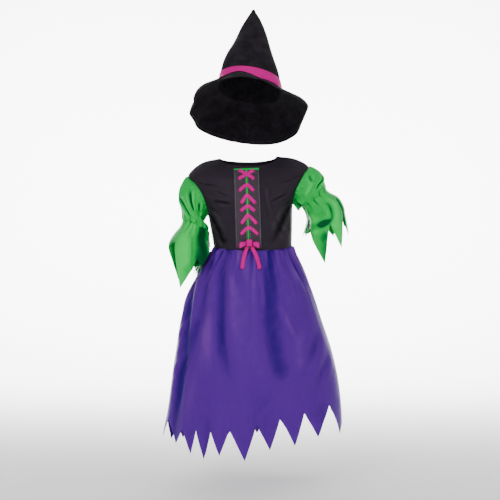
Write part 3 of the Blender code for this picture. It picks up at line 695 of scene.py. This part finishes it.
# Places on the skirt are degrees round from the front's middle, and metres below the waist.
# Their depth also sets the satin's painted shade in each valley and painted highlight on each ridge.
SKIRT_FOLDS = [
    Crease([(-88, 0.05), (-80, 0.10), (-72, 0.13), (-65, 0.17), (-62, 0.22), (-62, 0.30), (-65, 0.47)], 0.0180, 0.0062, 0.1, 0.15),
    Crease([(-74, 0.0), (-65, 0.026), (-57, 0.055), (-48, 0.125), (-47, 0.16), (-49, 0.22), (-46, 0.35)], 0.0145, 0.0058, 0.01, 0.28),
    Crease([(-43, 0.0), (-40, 0.024), (-32, 0.08), (-27, 0.15), (-24, 0.22), (-18, 0.29), (-15, 0.36)], 0.0125, 0.0060, 0.01, 0.55),
    Crease([(-31, 0.0), (-25, 0.02), (-17, 0.05), (-9, 0.08), (-6, 0.115), (-5, 0.16)], 0.008, 0.0028, 0.01, 0.7),
    Crease([(-5, 0.0), (-4, 0.02), (-3, 0.05)], 0.006, 0.0024, 0.01, 0.7),
    Crease([(26, 0.0), (23, 0.055), (18, 0.125), (17, 0.16), (17, 0.225), (18, 0.262), (24, 0.310)], 0.0180, 0.0040, 0.01, 0.15),
    Crease([(30, 0.0), (28, 0.02), (26, 0.045)], 0.006, 0.0034, 0.01, 0.6),
    Crease([(28, 0.11), (30, 0.15), (34, 0.185), (37, 0.205)], 0.006, -0.0018, 0.4, 0.3),
    Crease([(47, 0.18), (41, 0.20), (34, 0.222)], 0.007, -0.0014, 0.3, 0.3),
    Crease([(73, 0.185), (56, 0.22), (44, 0.26), (27, 0.34)], 0.011, 0.0026, 0.35, 0.5),
    Crease([(79, 0.235), (62, 0.27), (50, 0.295), (40, 0.35)], 0.010, 0.0022, 0.35, 0.45),
    Crease([(62, 0.0), (66, 0.05), (74, 0.11)], 0.010, 0.0045, 0.01, 0.5),
    Crease([(48, 0.0), (47, 0.04), (50, 0.10)], 0.008, 0.0040, 0.01, 0.6),
    Crease([(9, 0.03), (12, 0.085), (11, 0.16)], 0.0040, -0.0020, 0.3, 0.4),
    Crease([(-62, 0.15), (-75, 0.195), (-86, 0.225)], 0.007, -0.0016, 0.3, 0.4),
    Crease([(-59, 0.225), (-70, 0.27), (-86, 0.305)], 0.008, -0.0018, 0.3, 0.4),
    Crease([(4, 0.25), (4, 0.35), (3, 0.47)], 0.022, 0.0012, 0.4, 0.2),
    Crease([(46, 0.33), (50, 0.40), (52, 0.46)], 0.014, 0.0014, 0.4, 0.2),
    Crease([(-34, 0.36), (-31, 0.42), (-29, 0.47)], 0.010, 0.0018, 0.4, 0.2),
    Crease([(108, 0.0), (110, 0.2), (112, 0.48)], 0.018, 0.0086, 0.01, 0.1),
    Crease([(124, 0.0), (125, 0.05), (128, 0.13)], 0.007, 0.0036, 0.01, 0.6),
    Crease([(140, 0.0), (136, 0.15), (139, 0.3), (136, 0.48)], 0.018, 0.0094, 0.01, 0.1),
    Crease([(154, 0.0), (152, 0.04), (149, 0.10)], 0.007, 0.0036, 0.01, 0.6),
    Crease([(167, 0.01), (162, 0.16), (165, 0.48)], 0.016, 0.0086, 0.05, 0.1),
    Crease([(183, 0.0), (181, 0.07), (177, 0.17)], 0.008, 0.0036, 0.01, 0.6),
    Crease([(196, 0.0), (198, 0.14), (193, 0.3), (194, 0.48)], 0.018, 0.0086, 0.01, 0.1),
    Crease([(211, 0.0), (209, 0.05), (212, 0.12)], 0.007, 0.0036, 0.01, 0.6),
    Crease([(226, 0.0), (221, 0.17), (224, 0.48)], 0.018, 0.0094, 0.01, 0.1),
    Crease([(240, 0.02), (238, 0.10), (234, 0.20)], 0.008, 0.0032, 0.1, 0.6),
    Crease([(254, 0.01), (252, 0.2), (249, 0.48)], 0.016, 0.0072, 0.05, 0.1),
    Crease([(150, 0.24), (156, 0.30), (170, 0.33)], 0.007, 0.0025, 0.3, 0.4),
    Crease([(205, 0.20), (212, 0.28), (216, 0.38)], 0.008, 0.0029, 0.3, 0.4),
    Crease([(238, 0.28), (243, 0.36), (240, 0.46)], 0.008, 0.0029, 0.3, 0.4),
    Crease([(120, 0.26), (126, 0.34), (124, 0.45)], 0.008, 0.0032, 0.3, 0.4),
]
# The hem, point and notch by turns: degrees round from the front's middle, and height.
HEM = [
    (-90.0, -0.6486),
    (-74.0, -0.6060),
    (-59.6, -0.6561),
    (-52.5, -0.6228),
    (-42.7, -0.6751),
    (-39.8, -0.6213),
    (-30.9, -0.6849),
    (-28.6, -0.6220),
    (-20.6, -0.6749),
    (-15.9, -0.6169),
    (-4.6, -0.6855),
    (1.1, -0.6050),
    (10.5, -0.6617),
    (16.3, -0.5899),
    (26.4, -0.6535),
    (33.4, -0.5817),
    (43.4, -0.6371),
    (57.4, -0.5686),
    (75.6, -0.6397),
    (90.0, -0.5951),
    (98.0, -0.632),
    (108.0, -0.578),
    (118.0, -0.602),
    (127.0, -0.560),
    (137.0, -0.622),
    (147.0, -0.580),
    (158.0, -0.650),
    (167.0, -0.600),
    (177.0, -0.668),
    (187.0, -0.604),
    (197.0, -0.672),
    (206.0, -0.610),
    (216.0, -0.676),
    (225.0, -0.612),
    (234.0, -0.670),
    (243.0, -0.606),
    (252.0, -0.664),
    (261.0, -0.603),
    (270.0, -0.649),
]


def waist_height(turn):
    """Height of the waist seam, round from the front's middle."""
    side = BODICE[0]
    low = np.where(np.cos(turn) > 0, side.front_z, side.back_z)
    edge = np.where(np.sin(turn) > 0, side.right_z, side.left_z)
    across = np.abs(np.arctan2(np.sin(turn), np.abs(np.cos(turn)))) / (math.pi / 2)
    return between(low, edge, across**2)


def skirt_depth(turn, drop, widen=1.0):
    """How far the skirt's folds and gathers draw it in."""
    ring = along(SKIRT, drop / SKIRT_DROP)
    radius = (ring.right_x - ring.left_x + ring.front_depth + ring.back_depth) / 4
    folds = creased(SKIRT_FOLDS, np.degrees(turn), drop, (radius * math.pi / 180, 1), 360, widen)
    uneven = 0.75 + 0.25 * np.sin(5 * turn + 0.7)
    ripple = uneven * np.cos(28 * turn + 0.8 * np.sin(3 * turn + 1))
    ripple = ripple + 0.5 * np.cos(43 * turn + 1.1 * np.sin(4 * turn))
    ripple = ripple + 0.35 * np.cos(67 * turn + 0.9 * np.sin(7 * turn + 2))
    fall = 0.045 * (1 + 0.5 * np.sin(9 * turn + 2) + 0.3 * np.sin(17 * turn))
    gathers = 0.0026 * ripple * np.exp(-drop / fall) * smooth(drop / 0.006)
    return folds, gathers


def skirt_point(turn, drop):
    """A point of the skirt, that far round and that far below the waist."""
    turn, drop = np.broadcast_arrays(np.asarray(turn, float), np.asarray(drop, float))
    ring = along(SKIRT, drop / SKIRT_DROP)
    middle, half = (ring.left_x + ring.right_x) / 2, (ring.right_x - ring.left_x) / 2
    depth = np.where(np.cos(turn) > 0, ring.front_depth, ring.back_depth)
    folds, gathers = skirt_depth(turn, drop)
    inward = folds + gathers
    x = middle + (half - inward) * np.sin(turn)
    y = -(depth - inward) * np.cos(turn)
    return np.stack([x, y, waist_height(turn) - drop], -1)


def ragged(edge, steps, first_point):
    """A ragged edge's columns, from its table of points and notches: degrees, length or height,
    and how far each bends outward at the edge, which is nothing at the notches. first_point is
    the place in the table of the first point, 0 or 1."""
    columns = []
    for i, ((a, end_a), (b, end_b)) in enumerate(zip(edge, edge[1:])):
        point = i if i % 2 == first_point else i + 1
        for k in range(steps):
            share = k / steps
            near = 1 - share if point == i else share
            bend = near * math.sin(2.4 * point + 0.6)
            columns.append((between(a, b, share), between(end_a, end_b, share), bend))
    last = len(edge) - 1
    columns.append((*edge[-1], math.sin(2.4 * last + 0.6) if last % 2 == first_point else 0))
    return np.array(columns).T


def skirt_panel(name, low, high, finish):
    """The part of the skirt between two angles, with a column at every point and notch."""
    edge = [row for row in HEM if low <= row[0] <= high]
    degrees, height, bend = ragged(edge, 10, HEM.index(edge[0]) % 2)
    seam = np.radians(0.12)
    turn = np.clip(np.radians(degrees), np.radians(low) + seam, np.radians(high) - seam)[None]
    share = (np.linspace(0, 1, 130) ** 1.12)[:, None]
    drop = between(-0.0010, waist_height(turn) - height, share)
    points = skirt_point(turn, drop)
    tucked = (0.0012 * smooth((0.002 - drop) / 0.003))[..., None]
    flutter = 0.0045 * bend * smooth((share - 0.78) / 0.22) ** 2
    points += normals(points) * (flutter[..., None] - tucked)
    # The folds and gathers, drawn a little wider, also paint the satin: painted shade in their valleys and
    # painted highlight on their ridges.
    folds, gathers = skirt_depth(turn, drop, 1.25)
    painted_shade_and_highlight = np.clip(-folds / 0.0072 - gathers / 0.006, -1, 1)
    made = cloth(name, [name], points, finish, 0.0006, painted_shade_and_highlight)
    return made


PURPLE_SATIN = satin(
    "purple_satin",
    (0.019, 0.003, 0.135, 1),
    (0.074, 0.015, 0.225, 1),
    (0.124, 0.036, 0.270, 1),
    (0.55, 0.30, 1.0, 0.05),
    0.46,
    0.0005,
)
skirt_panel("skirt_front", -90, 90, PURPLE_SATIN)
skirt_panel("skirt_back", 90, 270, PURPLE_SATIN)


# Bow: the lacing's ends, tied at the waist in a small flat bow. Its tails hang on the skirt.


def over_waist(x, z, out):
    """Where a tail hangs at x and z: straight down from the knot, then on the gathers."""
    drop = np.maximum(BODICE[0].front_z - z, 0)
    ring = along(SKIRT, drop / SKIRT_DROP)
    middle, half = (ring.left_x + ring.right_x) / 2, (ring.right_x - ring.left_x) / 2
    ridges = [
        skirt_point(np.arcsin((x + side - middle) / half), drop)[..., 1]
        for side in (-0.005, -0.0025, 0, 0.0025, 0.005)
    ]
    ridge = np.min(ridges, axis=0) - (CLOTH + RIBBON) / 2 - 2 * SEAM_GAP
    bodice = on_bodice(x, np.maximum(z, -0.208), 0.0070)[..., 1]
    return np.stack([x, np.minimum(bodice, ridge) - out, z], -1)


knot_middle = on_bodice(*BOW_MIDDLE, RIBBON_OUT + 0.0031)
lean = Matrix.Rotation(math.radians(8), 3, "X")
knot_rows = []
for share in np.linspace(0, 1, 40):
    turn = math.tau * share
    squash = (abs(math.cos(turn)) ** 4 + abs(math.sin(turn)) ** 4) ** -0.25
    row = []
    for x in np.linspace(-1, 1, 25):
        waist = 1 - 0.16 * (1 - x * x) - 0.30 * abs(x) ** 6
        crease = 1 - 0.05 * math.cos(9 * x + 3 * math.sin(turn)) * (1 - x * x)
        local = Vector(
            (
                0.0070 * x,
                -0.0036 * math.cos(turn) * squash * waist * crease,
                0.0088 * math.sin(turn) * squash * waist * crease,
            )
        )
        row.append(Vector(knot_middle) + lean @ local)
    knot_rows.append(row)
knot_points = np.array(knot_rows)
# Painted shade on the knot's sides, where the loops come out of it.
knot_painted_shade = 0.5 - np.abs(np.linspace(-1, 1, 25)) ** 3 * 1.2
knot = cloth("bow_knot", ["bow_knot"], knot_points, RIBBON_PINK, 0.0006, knot_painted_shade)

for side, name in ((-1, "right"), (1, "left")):
    turn = np.linspace(0.09 * math.tau, 0.91 * math.tau, 60)[:, None]
    reach = 0.0082 * (1 - np.cos(turn))
    tall = between(0.0044, 0.0072, reach / 0.0164)
    up = np.linspace(-1, 1, 15)[None]
    pinch = 0.0006 * np.cos(4 * up) * bell(reach / 0.006)
    x = knot_middle[0] + side * (0.0066 + reach - 0.0012 * up**2 * smooth(reach / 0.0164))
    y = knot_middle[1] - 0.0014 + 0.0042 * np.sin(turn) * (0.35 + reach / 0.0164) + pinch
    z = knot_middle[2] - 0.0012 - 0.25 * reach + up * tall
    points = np.stack(np.broadcast_arrays(x, y, z), -1)
    points = points if side > 0 else points[:, ::-1]
    # Painted shade where each loop meets the knot, and darker along both edges.
    painted_shade_and_highlight = between(-0.6, 0.5, smooth(reach / 0.010)) - 0.5 * up**4
    node = f"bow_loop_{name}"
    loop = cloth(node, [node], points, RIBBON_PINK, 0.0007, painted_shade_and_highlight)

    foot = np.array((-0.0175 if side < 0 else 0.0225, -0.2560))
    start = np.array((BOW_MIDDLE[0] + side * 0.0050, BOW_MIDDLE[1] - 0.0096))
    bend = np.array((0.0025 * side, 0))
    shares = np.linspace(0, 1, 7)
    path = [between(start, foot, s) + bend * math.sin(math.pi * s) for s in shares]
    ribbon(f"bow_tail_{name}", path, 0, over_waist, 0.0088, ends=0.0)


# Sleeves: green satin puffs, eased on to the armhole and gathered by elastic below. A
# ragged flounce hangs from each gather, cut in uneven points and left raw.

Sleeve = namedtuple("Sleeve", "name side gather way radius droop puff inner")
SLEEVES = [
    Sleeve("right", -1, (-0.127, -0.004, -0.151), (-0.27, -0.10, -0.96), 0.030, 1.00, 0.16, 0.75),
    Sleeve("left", 1, (0.150, 0.004, -0.089), (0.64, 0.06, -0.77), 0.034, 0.82, 0.24, 1.10),
]
# Ragged edges, point and notch by turns: degrees round from the outer side by way of the
# front, then how far down from the gather.
CUFFS = {
    "right": [
        (20, 0.068),
        (41, 0.058),
        (64, 0.163),
        (104, 0.083),
        (126, 0.112),
        (160, 0.085),
        (195, 0.112),
        (222, 0.080),
        (250, 0.122),
        (278, 0.080),
        (312, 0.138),
        (350, 0.060),
    ],
    "left": [
        (10, 0.135),
        (36, 0.085),
        (60, 0.145),
        (80, 0.072),
        (104, 0.150),
        (138, 0.050),
        (168, 0.062),
        (198, 0.052),
        (228, 0.066),
        (262, 0.058),
        (300, 0.120),
        (335, 0.085),
    ],
}
SKIRT_CLEAR = 0.009
# Places on a puff are degrees round from the outer side, and the share of its way down.
PUFF_FOLDS = {
    "right": [
        Crease([(8, 0.42), (28, 0.55), (50, 0.72), (70, 0.90)], 0.0065, 0.0036, 0.2, 0.3),
        Crease([(32, 0.12), (60, 0.26), (82, 0.42), (96, 0.58)], 0.0060, 0.0042, 0.3, 0.35),
        Crease([(50, 0.10), (75, 0.24), (95, 0.40), (114, 0.74)], 0.0045, -0.0026, 0.25, 0.25),
        Crease([(100, 0.14), (118, 0.22), (126, 0.36)], 0.0065, 0.0036, 0.3, 0.35),
        Crease([(152, 0.12), (136, 0.42), (118, 0.74)], 0.0040, -0.0022, 0.3, 0.25),
        Crease([(205, 0.12), (222, 0.34), (228, 0.60)], 0.0065, 0.0032, 0.3, 0.35),
        Crease([(240, 0.15), (255, 0.40), (248, 0.70)], 0.0050, -0.0020, 0.3, 0.3),
        Crease([(300, 0.15), (285, 0.35), (262, 0.60), (255, 0.80)], 0.0060, 0.0035, 0.3, 0.3),
        Crease([(335, 0.40), (318, 0.58), (305, 0.78)], 0.0060, 0.0030, 0.2, 0.3),
    ],
    "left": [
        Crease([(8, 0.42), (22, 0.60), (50, 0.60), (68, 0.67)], 0.0045, 0.0042, 0.25, 0.3),
        Crease([(22, 0.76), (50, 0.76), (74, 0.80)], 0.0040, -0.0020, 0.25, 0.3),
        Crease([(36, 0.10), (48, 0.18), (56, 0.32)], 0.0050, 0.0026, 0.3, 0.4),
        Crease([(52, 0.26), (85, 0.32), (120, 0.35)], 0.0110, -0.0022, 0.3, 0.4),
        Crease([(168, 0.10), (160, 0.40), (150, 0.70)], 0.0060, 0.0036, 0.2, 0.3),
        Crease([(208, 0.15), (220, 0.42), (212, 0.72)], 0.0060, 0.0032, 0.3, 0.3),
        Crease([(268, 0.12), (254, 0.36), (262, 0.66)], 0.0070, 0.0036, 0.3, 0.35),
        Crease([(290, 0.30), (300, 0.55), (286, 0.82)], 0.0045, -0.0020, 0.3, 0.3),
        Crease([(330, 0.20), (322, 0.48), (336, 0.74)], 0.0060, 0.0032, 0.3, 0.3),
    ],
}
CUFF_FOLDS = {
    "right": [
        # This broad shallow crease chiefly lays painted shade over the flounce's inner side.
        Crease([(134, 0.005), (132, 0.05), (128, 0.12)], 0.0230, 0.0056, 0.05, 0.2),
        Crease([(84, 0.0), (82, 0.025), (84, 0.045)], 0.0050, 0.0022, 0.05, 0.5),
        Crease([(68, 0.0), (64, 0.02), (58, 0.035)], 0.0040, 0.0020, 0.05, 0.6),
        Crease([(154, 0.02), (150, 0.07), (154, 0.11)], 0.0080, -0.0020, 0.2, 0.3),
        Crease([(215, 0.005), (220, 0.05), (212, 0.10)], 0.0100, 0.0045, 0.05, 0.3),
        Crease([(262, 0.0), (258, 0.05), (268, 0.11)], 0.0110, 0.0050, 0.05, 0.3),
        Crease([(318, 0.0), (322, 0.05), (316, 0.10)], 0.0100, 0.0040, 0.05, 0.3),
    ],
    "left": [
        Crease([(76, 0.012), (68, 0.045), (72, 0.068), (98, 0.062), (135, 0.048), (158, 0.040)], 0.0065, 0.0040, 0.2, 0.35),
        Crease([(160, 0.030), (140, 0.060), (124, 0.080)], 0.0090, 0.0036, 0.2, 0.3),
        Crease([(100, 0.0), (98, 0.012), (95, 0.024)], 0.0030, 0.0016, 0.05, 0.6),
        Crease([(30, 0.03), (26, 0.07), (28, 0.12)], 0.0050, 0.0030, 0.2, 0.2),
        Crease([(215, 0.0), (220, 0.03), (212, 0.055)], 0.0070, 0.0030, 0.05, 0.3),
        Crease([(264, 0.0), (258, 0.03), (266, 0.055)], 0.0090, 0.0035, 0.05, 0.3),
        Crease([(315, 0.0), (320, 0.06), (312, 0.10)], 0.0090, 0.0040, 0.05, 0.3),
    ],
}


def armhole(side, share):
    """Places on the armhole: 0 and 1 are the shoulder, 0.5 the armpit."""
    down = np.where(share < 0.5, share * 2, 2 - share * 2)
    up = between(SHOULDER_UP, ARMPIT_UP, down)
    front, back = bodice_form(-1, side, up), bodice_form(1, side, up)
    return np.where((share < 0.5)[..., None], front, back)


def sleeve_axes(sleeve):
    """The sleeve's way down, its outer side and its front, at its gather."""
    down = np.array(sleeve.way) / np.linalg.norm(sleeve.way)
    front = np.array((0, -1, 0)) + down * down[1]
    front = front / np.linalg.norm(front)
    outer = np.cross(down, front)
    outer = outer / np.linalg.norm(outer)
    return down, outer * sleeve.side * np.sign(outer[0]), front


def puff_point(sleeve, turn, share):
    """The upper sleeve: share 0 is the armhole, and 1 the gather."""
    turn, share = np.broadcast_arrays(np.asarray(turn, float), np.asarray(share, float))
    down, outer, front = sleeve_axes(sleeve)
    top = armhole(sleeve.side, (turn / math.tau) % 1)
    round_it = outer * np.cos(turn)[..., None] + front * np.sin(turn)[..., None]
    gather = np.array(sleeve.gather)
    end = gather + round_it * sleeve.radius
    hole = armhole(sleeve.side, np.array([0.0, 0.5])).mean(axis=0)
    leaving = np.array((sleeve.side * 0.9, 0, -0.35))
    leaving = leaving / np.linalg.norm(leaving)
    reach = np.linalg.norm(gather - hole)
    arch = np.sin(math.pi * np.clip(share, 0, 1))
    swell = leaving * (reach * 0.30 * arch * (1 - share))[..., None]
    middle = between(hole, gather, share[..., None])
    point = between(top, end, share[..., None]) + swell
    away = point - middle
    full = 1 + sleeve.puff * arch**0.8
    hollow = 0.10 * bell((turn - 2.1) / 0.5) + 0.08 * bell((turn - 0.8) / 0.35)
    full = full - hollow * arch
    gathers = np.cos(turn * 13 + np.sin(2 * turn)) + 0.7 * np.cos(turn * 23 + 2 * np.sin(turn))
    ripple = gathers * 0.0014 * smooth((share - 0.72) / 0.26) ** 1.5
    ripple = ripple * smooth((1.01 - share) / 0.04)
    ripple = ripple + 0.0005 * np.cos(turn * 17) * smooth((0.16 - share) / 0.12)
    unit = (0.045 * math.pi / 180, 0.11)
    folds = creased(PUFF_FOLDS[sleeve.name], np.degrees(turn) % 360, share, unit, 360)
    folds = folds * smooth(share / 0.08) * smooth((1 - share) / 0.05)
    unit_away = away / np.linalg.norm(away, axis=-1, keepdims=True)
    return middle + away * full[..., None] + unit_away * (ripple - folds)[..., None], folds - ripple


def clear_of_skirt(point):
    """The points, moved out level until the skirt's fullest outline is SKIRT_CLEAR away."""
    ring = along(SKIRT, (-0.200 - point[..., 2]) / SKIRT_DROP)
    middle = (ring.left_x + ring.right_x) / 2
    half = (ring.right_x - ring.left_x) / 2 + SKIRT_CLEAR
    depth = np.where(point[..., 1] < 0, ring.front_depth, ring.back_depth) + SKIRT_CLEAR
    inside = np.hypot((point[..., 0] - middle) / half, point[..., 1] / depth)
    grown = 1 / np.minimum(inside, 1)
    x = middle + (point[..., 0] - middle) * grown
    return np.stack([x, point[..., 1] * grown, point[..., 2]], -1)


def cuff_point(sleeve, turn, length):
    """The flounce, that far below the gather, hanging from the gather's outer side."""
    turn, length = np.broadcast_arrays(np.asarray(turn, float), np.asarray(length, float))
    down, outer, front = sleeve_axes(sleeve)
    share = length / 0.15
    hang = between(down, np.array((0, 0, -1)), (sleeve.droop * smooth(length / 0.06))[..., None])
    hang = hang / np.linalg.norm(hang, axis=-1, keepdims=True)
    middle = np.array(sleeve.gather) + down * np.minimum(length, 0.03)[..., None]
    middle = middle + hang * np.maximum(length - 0.03, 0)[..., None]
    flare = 0.027 * smooth(length / 0.075) + 0.003 * share
    gathers = np.cos(turn * 13 + np.sin(2 * turn)) + 0.7 * np.cos(turn * 23 + 2 * np.sin(turn))
    ripple = gathers * 0.0015 * np.exp(-length / 0.013) * smooth((length + 0.002) / 0.004)
    wave = 0.0024 * np.cos(turn * 5 + 1) * smooth(length / 0.08)
    folds = creased(
        CUFF_FOLDS[sleeve.name], np.degrees(turn) % 360, length, (0.05 * math.pi / 180, 1), 360
    )
    side = np.where(np.cos(turn) > 0, 1, sleeve.inner)
    size = sleeve.radius + (flare + wave) * side + ripple - folds
    round_it = outer * np.cos(turn)[..., None] + front * np.sin(turn)[..., None] * 0.95
    return clear_of_skirt(middle + round_it * size[..., None]), folds - ripple - wave


for sleeve in SLEEVES:
    turn = np.linspace(-math.pi, math.pi, 180)[None]
    share = np.linspace(0, 1, 90)[:, None]
    points, depth = puff_point(sleeve, turn, share)
    hole = armhole(sleeve.side, np.array([0.0, 0.5])).mean(axis=0)
    tucked = smooth((0.05 - share) / 0.05)[..., None]
    points = points + (hole - points) * tucked * 0.035
    points = points + np.array((sleeve.side, 0, 0)) * (0.0022 - 0.0042 * tucked)
    if sleeve.side > 0:
        points, depth = points[:, ::-1], depth[:, ::-1]
    # Painted shade in the puff's folds and gathers, and painted highlight on their ridges.
    painted_shade_and_highlight = np.clip(-depth / 0.004 + 0.12, -1, 1)
    node = f"sleeve_{sleeve.name}"
    puff = cloth(node, [node], points, GREEN_SATIN, 0.0007, painted_shade_and_highlight)

    edge = CUFFS[sleeve.name]
    seam = min(range(len(edge)), key=lambda i: abs(edge[i][0] - 180))
    edge = edge[seam:] + [(degrees + 360, length) for degrees, length in edge[: seam + 1]]
    degrees, length, bend = ragged(edge, 15, seam % 2)
    turn = np.radians(degrees)[None]
    share = np.linspace(0, 1, 84)[:, None]
    points, depth = cuff_point(sleeve, turn, between(-0.0004, length, share))
    flutter = np.broadcast_to(0.004 * bend * smooth((share - 0.5) / 0.5) ** 2, depth.shape)
    if sleeve.side > 0:
        points, depth, flutter = points[:, ::-1], depth[:, ::-1], flutter[:, ::-1]
    points = points + normals(points) * flutter[..., None]
    # Painted shade in the flounce's folds and gathers, and painted highlight on their ridges.
    painted_shade_and_highlight = np.clip(-depth / 0.004 + 0.12, -1, 1)
    node = f"cuff_{sleeve.name}"
    cuff = cloth(node, [node], points, GREEN_SATIN, 0.0006, painted_shade_and_highlight)


# Hat: a soft cone of brushed black cloth with one seam up the back, a floppy double brim with a
# topstitched edge, and a band of pink ribbon over the seam between them.

FELT = 0.002
CROWN_RADIUS, BAND_WIDTH = 0.076, 0.0268
HAT_BASE = (0, 0, 0.1645)
HAT_TILT_BACK, HAT_TILT_RIGHT = math.radians(17), math.radians(8.5)

Crown = namedtuple("Crown", "height radius lean")
CROWN = [
    Crown(0.0000, 0.0760, 0.0000),
    Crown(0.0268, 0.0705, -0.0036),
    Crown(0.0536, 0.0645, -0.0072),
    Crown(0.0825, 0.0555, -0.0103),
    Crown(0.1093, 0.0455, -0.0110),
    Crown(0.1350, 0.0360, -0.0122),
    Crown(0.1610, 0.0258, -0.0152),
    Crown(0.1855, 0.0142, -0.0176),
    Crown(0.2083, 0.0020, -0.0211),
]
Brim = namedtuple("Brim", "degrees reach lift curl")
BRIM = [
    Brim(-180, 0.135, -0.081, 0.7),
    Brim(-131, 0.142, -0.079, 0.7),
    Brim(-112, 0.131, -0.077, 0.8),
    Brim(-97, 0.134, -0.071, 0.9),
    Brim(-88, 0.124, -0.062, 1.0),
    Brim(-73, 0.131, -0.054, 0.9),
    Brim(-60, 0.136, -0.050, 0.5),
    Brim(-43, 0.158, -0.059, 0.2),
    Brim(-25, 0.169, -0.051, 0.1),
    Brim(-9, 0.172, -0.033, 0.1),
    Brim(11, 0.172, -0.046, 0.1),
    Brim(27, 0.166, -0.053, 0.0),
    Brim(47, 0.158, -0.045, 0.0),
    Brim(66, 0.152, -0.043, 0.3),
    Brim(81, 0.139, -0.045, 0.8),
    Brim(99, 0.134, -0.051, 1.0),
    Brim(118, 0.140, -0.065, 0.9),
    Brim(145, 0.140, -0.077, 0.8),
    Brim(180, 0.135, -0.081, 0.7),
]
hat_turn = Matrix.Rotation(HAT_TILT_RIGHT, 3, "Y") @ Matrix.Rotation(-HAT_TILT_BACK, 3, "X")
HAT_AXES = np.array(hat_turn).T


def in_place(local):
    """Points of the hat, from its own upright axes to its place and tilt."""
    return np.stack(local, -1) @ HAT_AXES + np.array(HAT_BASE)


def crown_point(turn, height, out=0.0):
    """A point of the crown, round from the front by way of the left side, moved out."""
    turn, height = np.broadcast_arrays(np.asarray(turn, float), np.asarray(height, float))
    heights = [row.height for row in CROWN]
    row = along(CROWN, np.interp(height, heights, np.linspace(0, 1, len(CROWN))))
    dent = 0.0015 * bell((height - 0.116) / 0.024) * bell((np.sin(turn) + 1) / 0.7)
    soft = 0.0009 * np.sin(3 * turn + 30 * height) + 0.0006 * np.sin(5 * turn - 55 * height + 1)
    soft = soft * smooth(height / 0.05) * smooth((0.20 - height) / 0.05)
    seam = 0.0009 * bell((np.abs(turn) - math.pi) * np.maximum(row.radius, 0.004) / 0.0016)
    radius = row.radius + out - dent - soft - seam * smooth(height / 0.03)
    return in_place([row.lean + radius * np.sin(turn), -radius * np.cos(turn), height])


def brim_point(turn, share):
    """A point of the brim: share 0 is the seam with the crown, and 1 the edge."""
    turn, share = np.broadcast_arrays(np.asarray(turn, float), np.asarray(share, float))
    rows = [*[b._replace(degrees=b.degrees - 360) for b in BRIM[-3:-1]], *BRIM]
    rows += [b._replace(degrees=b.degrees + 360) for b in BRIM[1:3]]
    stops = np.array([row.degrees for row in rows])
    place = np.interp(np.degrees(turn), stops, np.linspace(0, 1, len(rows)))
    edge = along(rows, place)
    quarter = share * math.pi / 2
    out = between(share, np.sin(quarter), edge.curl)
    fall = between(share, 1 - np.cos(quarter), edge.curl)
    radius = between(CROWN_RADIUS, edge.reach, out)
    height = -(FELT / 2 + SEAM_GAP) + edge.lift * fall
    return in_place([radius * np.sin(turn), -radius * np.cos(turn), height])


def brushed_finish(name, dark, pale):
    """Brushed cloth: short matted fibres over a soft body."""
    material, shader, start = new_finish(name)
    place = start.node("TexCoord", output="Object")
    fibres = noise(start, place, 900, 4, 1.5)
    cloudy = noise(start, place, 45, 3, 0.5)
    tone = 0.55 * fibres + 0.45 * cloudy
    colour = tone.ramp(0.35, 0.70).mix(dark, pale)
    height = fibres + 2.5 * cloudy
    bump = start.node("Bump", inputs={"Strength": 0.6, "Distance": 0.0005, "Height": height})
    material.node_tree.links.new(colour.output, shader.inputs["Base Color"])
    material.node_tree.links.new(bump.output, shader.inputs["Normal"])
    shader.inputs["Roughness"].default_value = 0.92
    shader.inputs["Specular IOR Level"].default_value = 0.08
    shader.inputs["Sheen Weight"].default_value = 0.02
    return material


HAT_CLOTH = brushed_finish("hat_cloth", (0.0066, 0.0054, 0.0076, 1), (0.0200, 0.0163, 0.0222, 1))

turns = np.linspace(-math.pi, math.pi, 180)[None]
heights = np.linspace(CROWN[-1].height, 0, 120)[:, None]
crown_points = crown_point(turns, heights, 0.0010)
tip = np.broadcast_to(crown_points[:1].mean(axis=1, keepdims=True), crown_points[:1].shape)
crown_points = np.concatenate([tip, crown_points])
crown = cloth("hat_crown", ["hat_crown"], crown_points, HAT_CLOTH, 0.0018, sharp_top=True)

shares = np.linspace(0, 1, 90)[:, None]
brim_points = brim_point(turns, shares)
groove = 0.0005 * bell((shares - 0.935) / 0.012)
brim_points -= normals(brim_points) * groove[..., None]
brim = cloth("hat_brim", ["hat_brim"], brim_points, HAT_CLOTH, 0.0019)

heights = np.linspace(BAND_WIDTH, 0.0005, 28)[:, None]
band_points = crown_point(turns, heights, FELT + SEAM_GAP + 0.0005)
band_fold = 0.25 - 0.8 * bell((heights - BAND_WIDTH) / 0.0015) - 0.8 * bell(heights / 0.0015)
band = cloth("hat_band", ["hat_band"], band_points, RIBBON_PINK, 0.0006, band_fold)

around = np.linspace(-math.pi, math.pi, 900)
brim_line = brim_point(around, 0.935)
inner = brim_point(around, 0.92)
brim_up = np.cross(brim_line - inner, np.gradient(brim_line, axis=0))
brim_up /= np.linalg.norm(brim_up, axis=1, keepdims=True)
hat_lines = [
    (brim_line + brim_up * 0.0007, brim_up),
    (brim_line - brim_up * 0.0017, -brim_up),
]
for height in (0.0022, BAND_WIDTH - 0.0020):
    line = crown_point(around, height, FELT + 0.0011)
    hat_lines.append((line, line - crown_point(around, height, FELT)))
stitches("hat_stitches", hat_lines[:2], BLACK_THREAD)
PINK_THREAD = thread_finish("pink_thread", (0.62, 0.002, 0.22, 1))
stitches("hat_band_stitches", hat_lines[2:], PINK_THREAD, 0.0024, 0.0016, 0.0003)

bpy.context.view_layer.update()
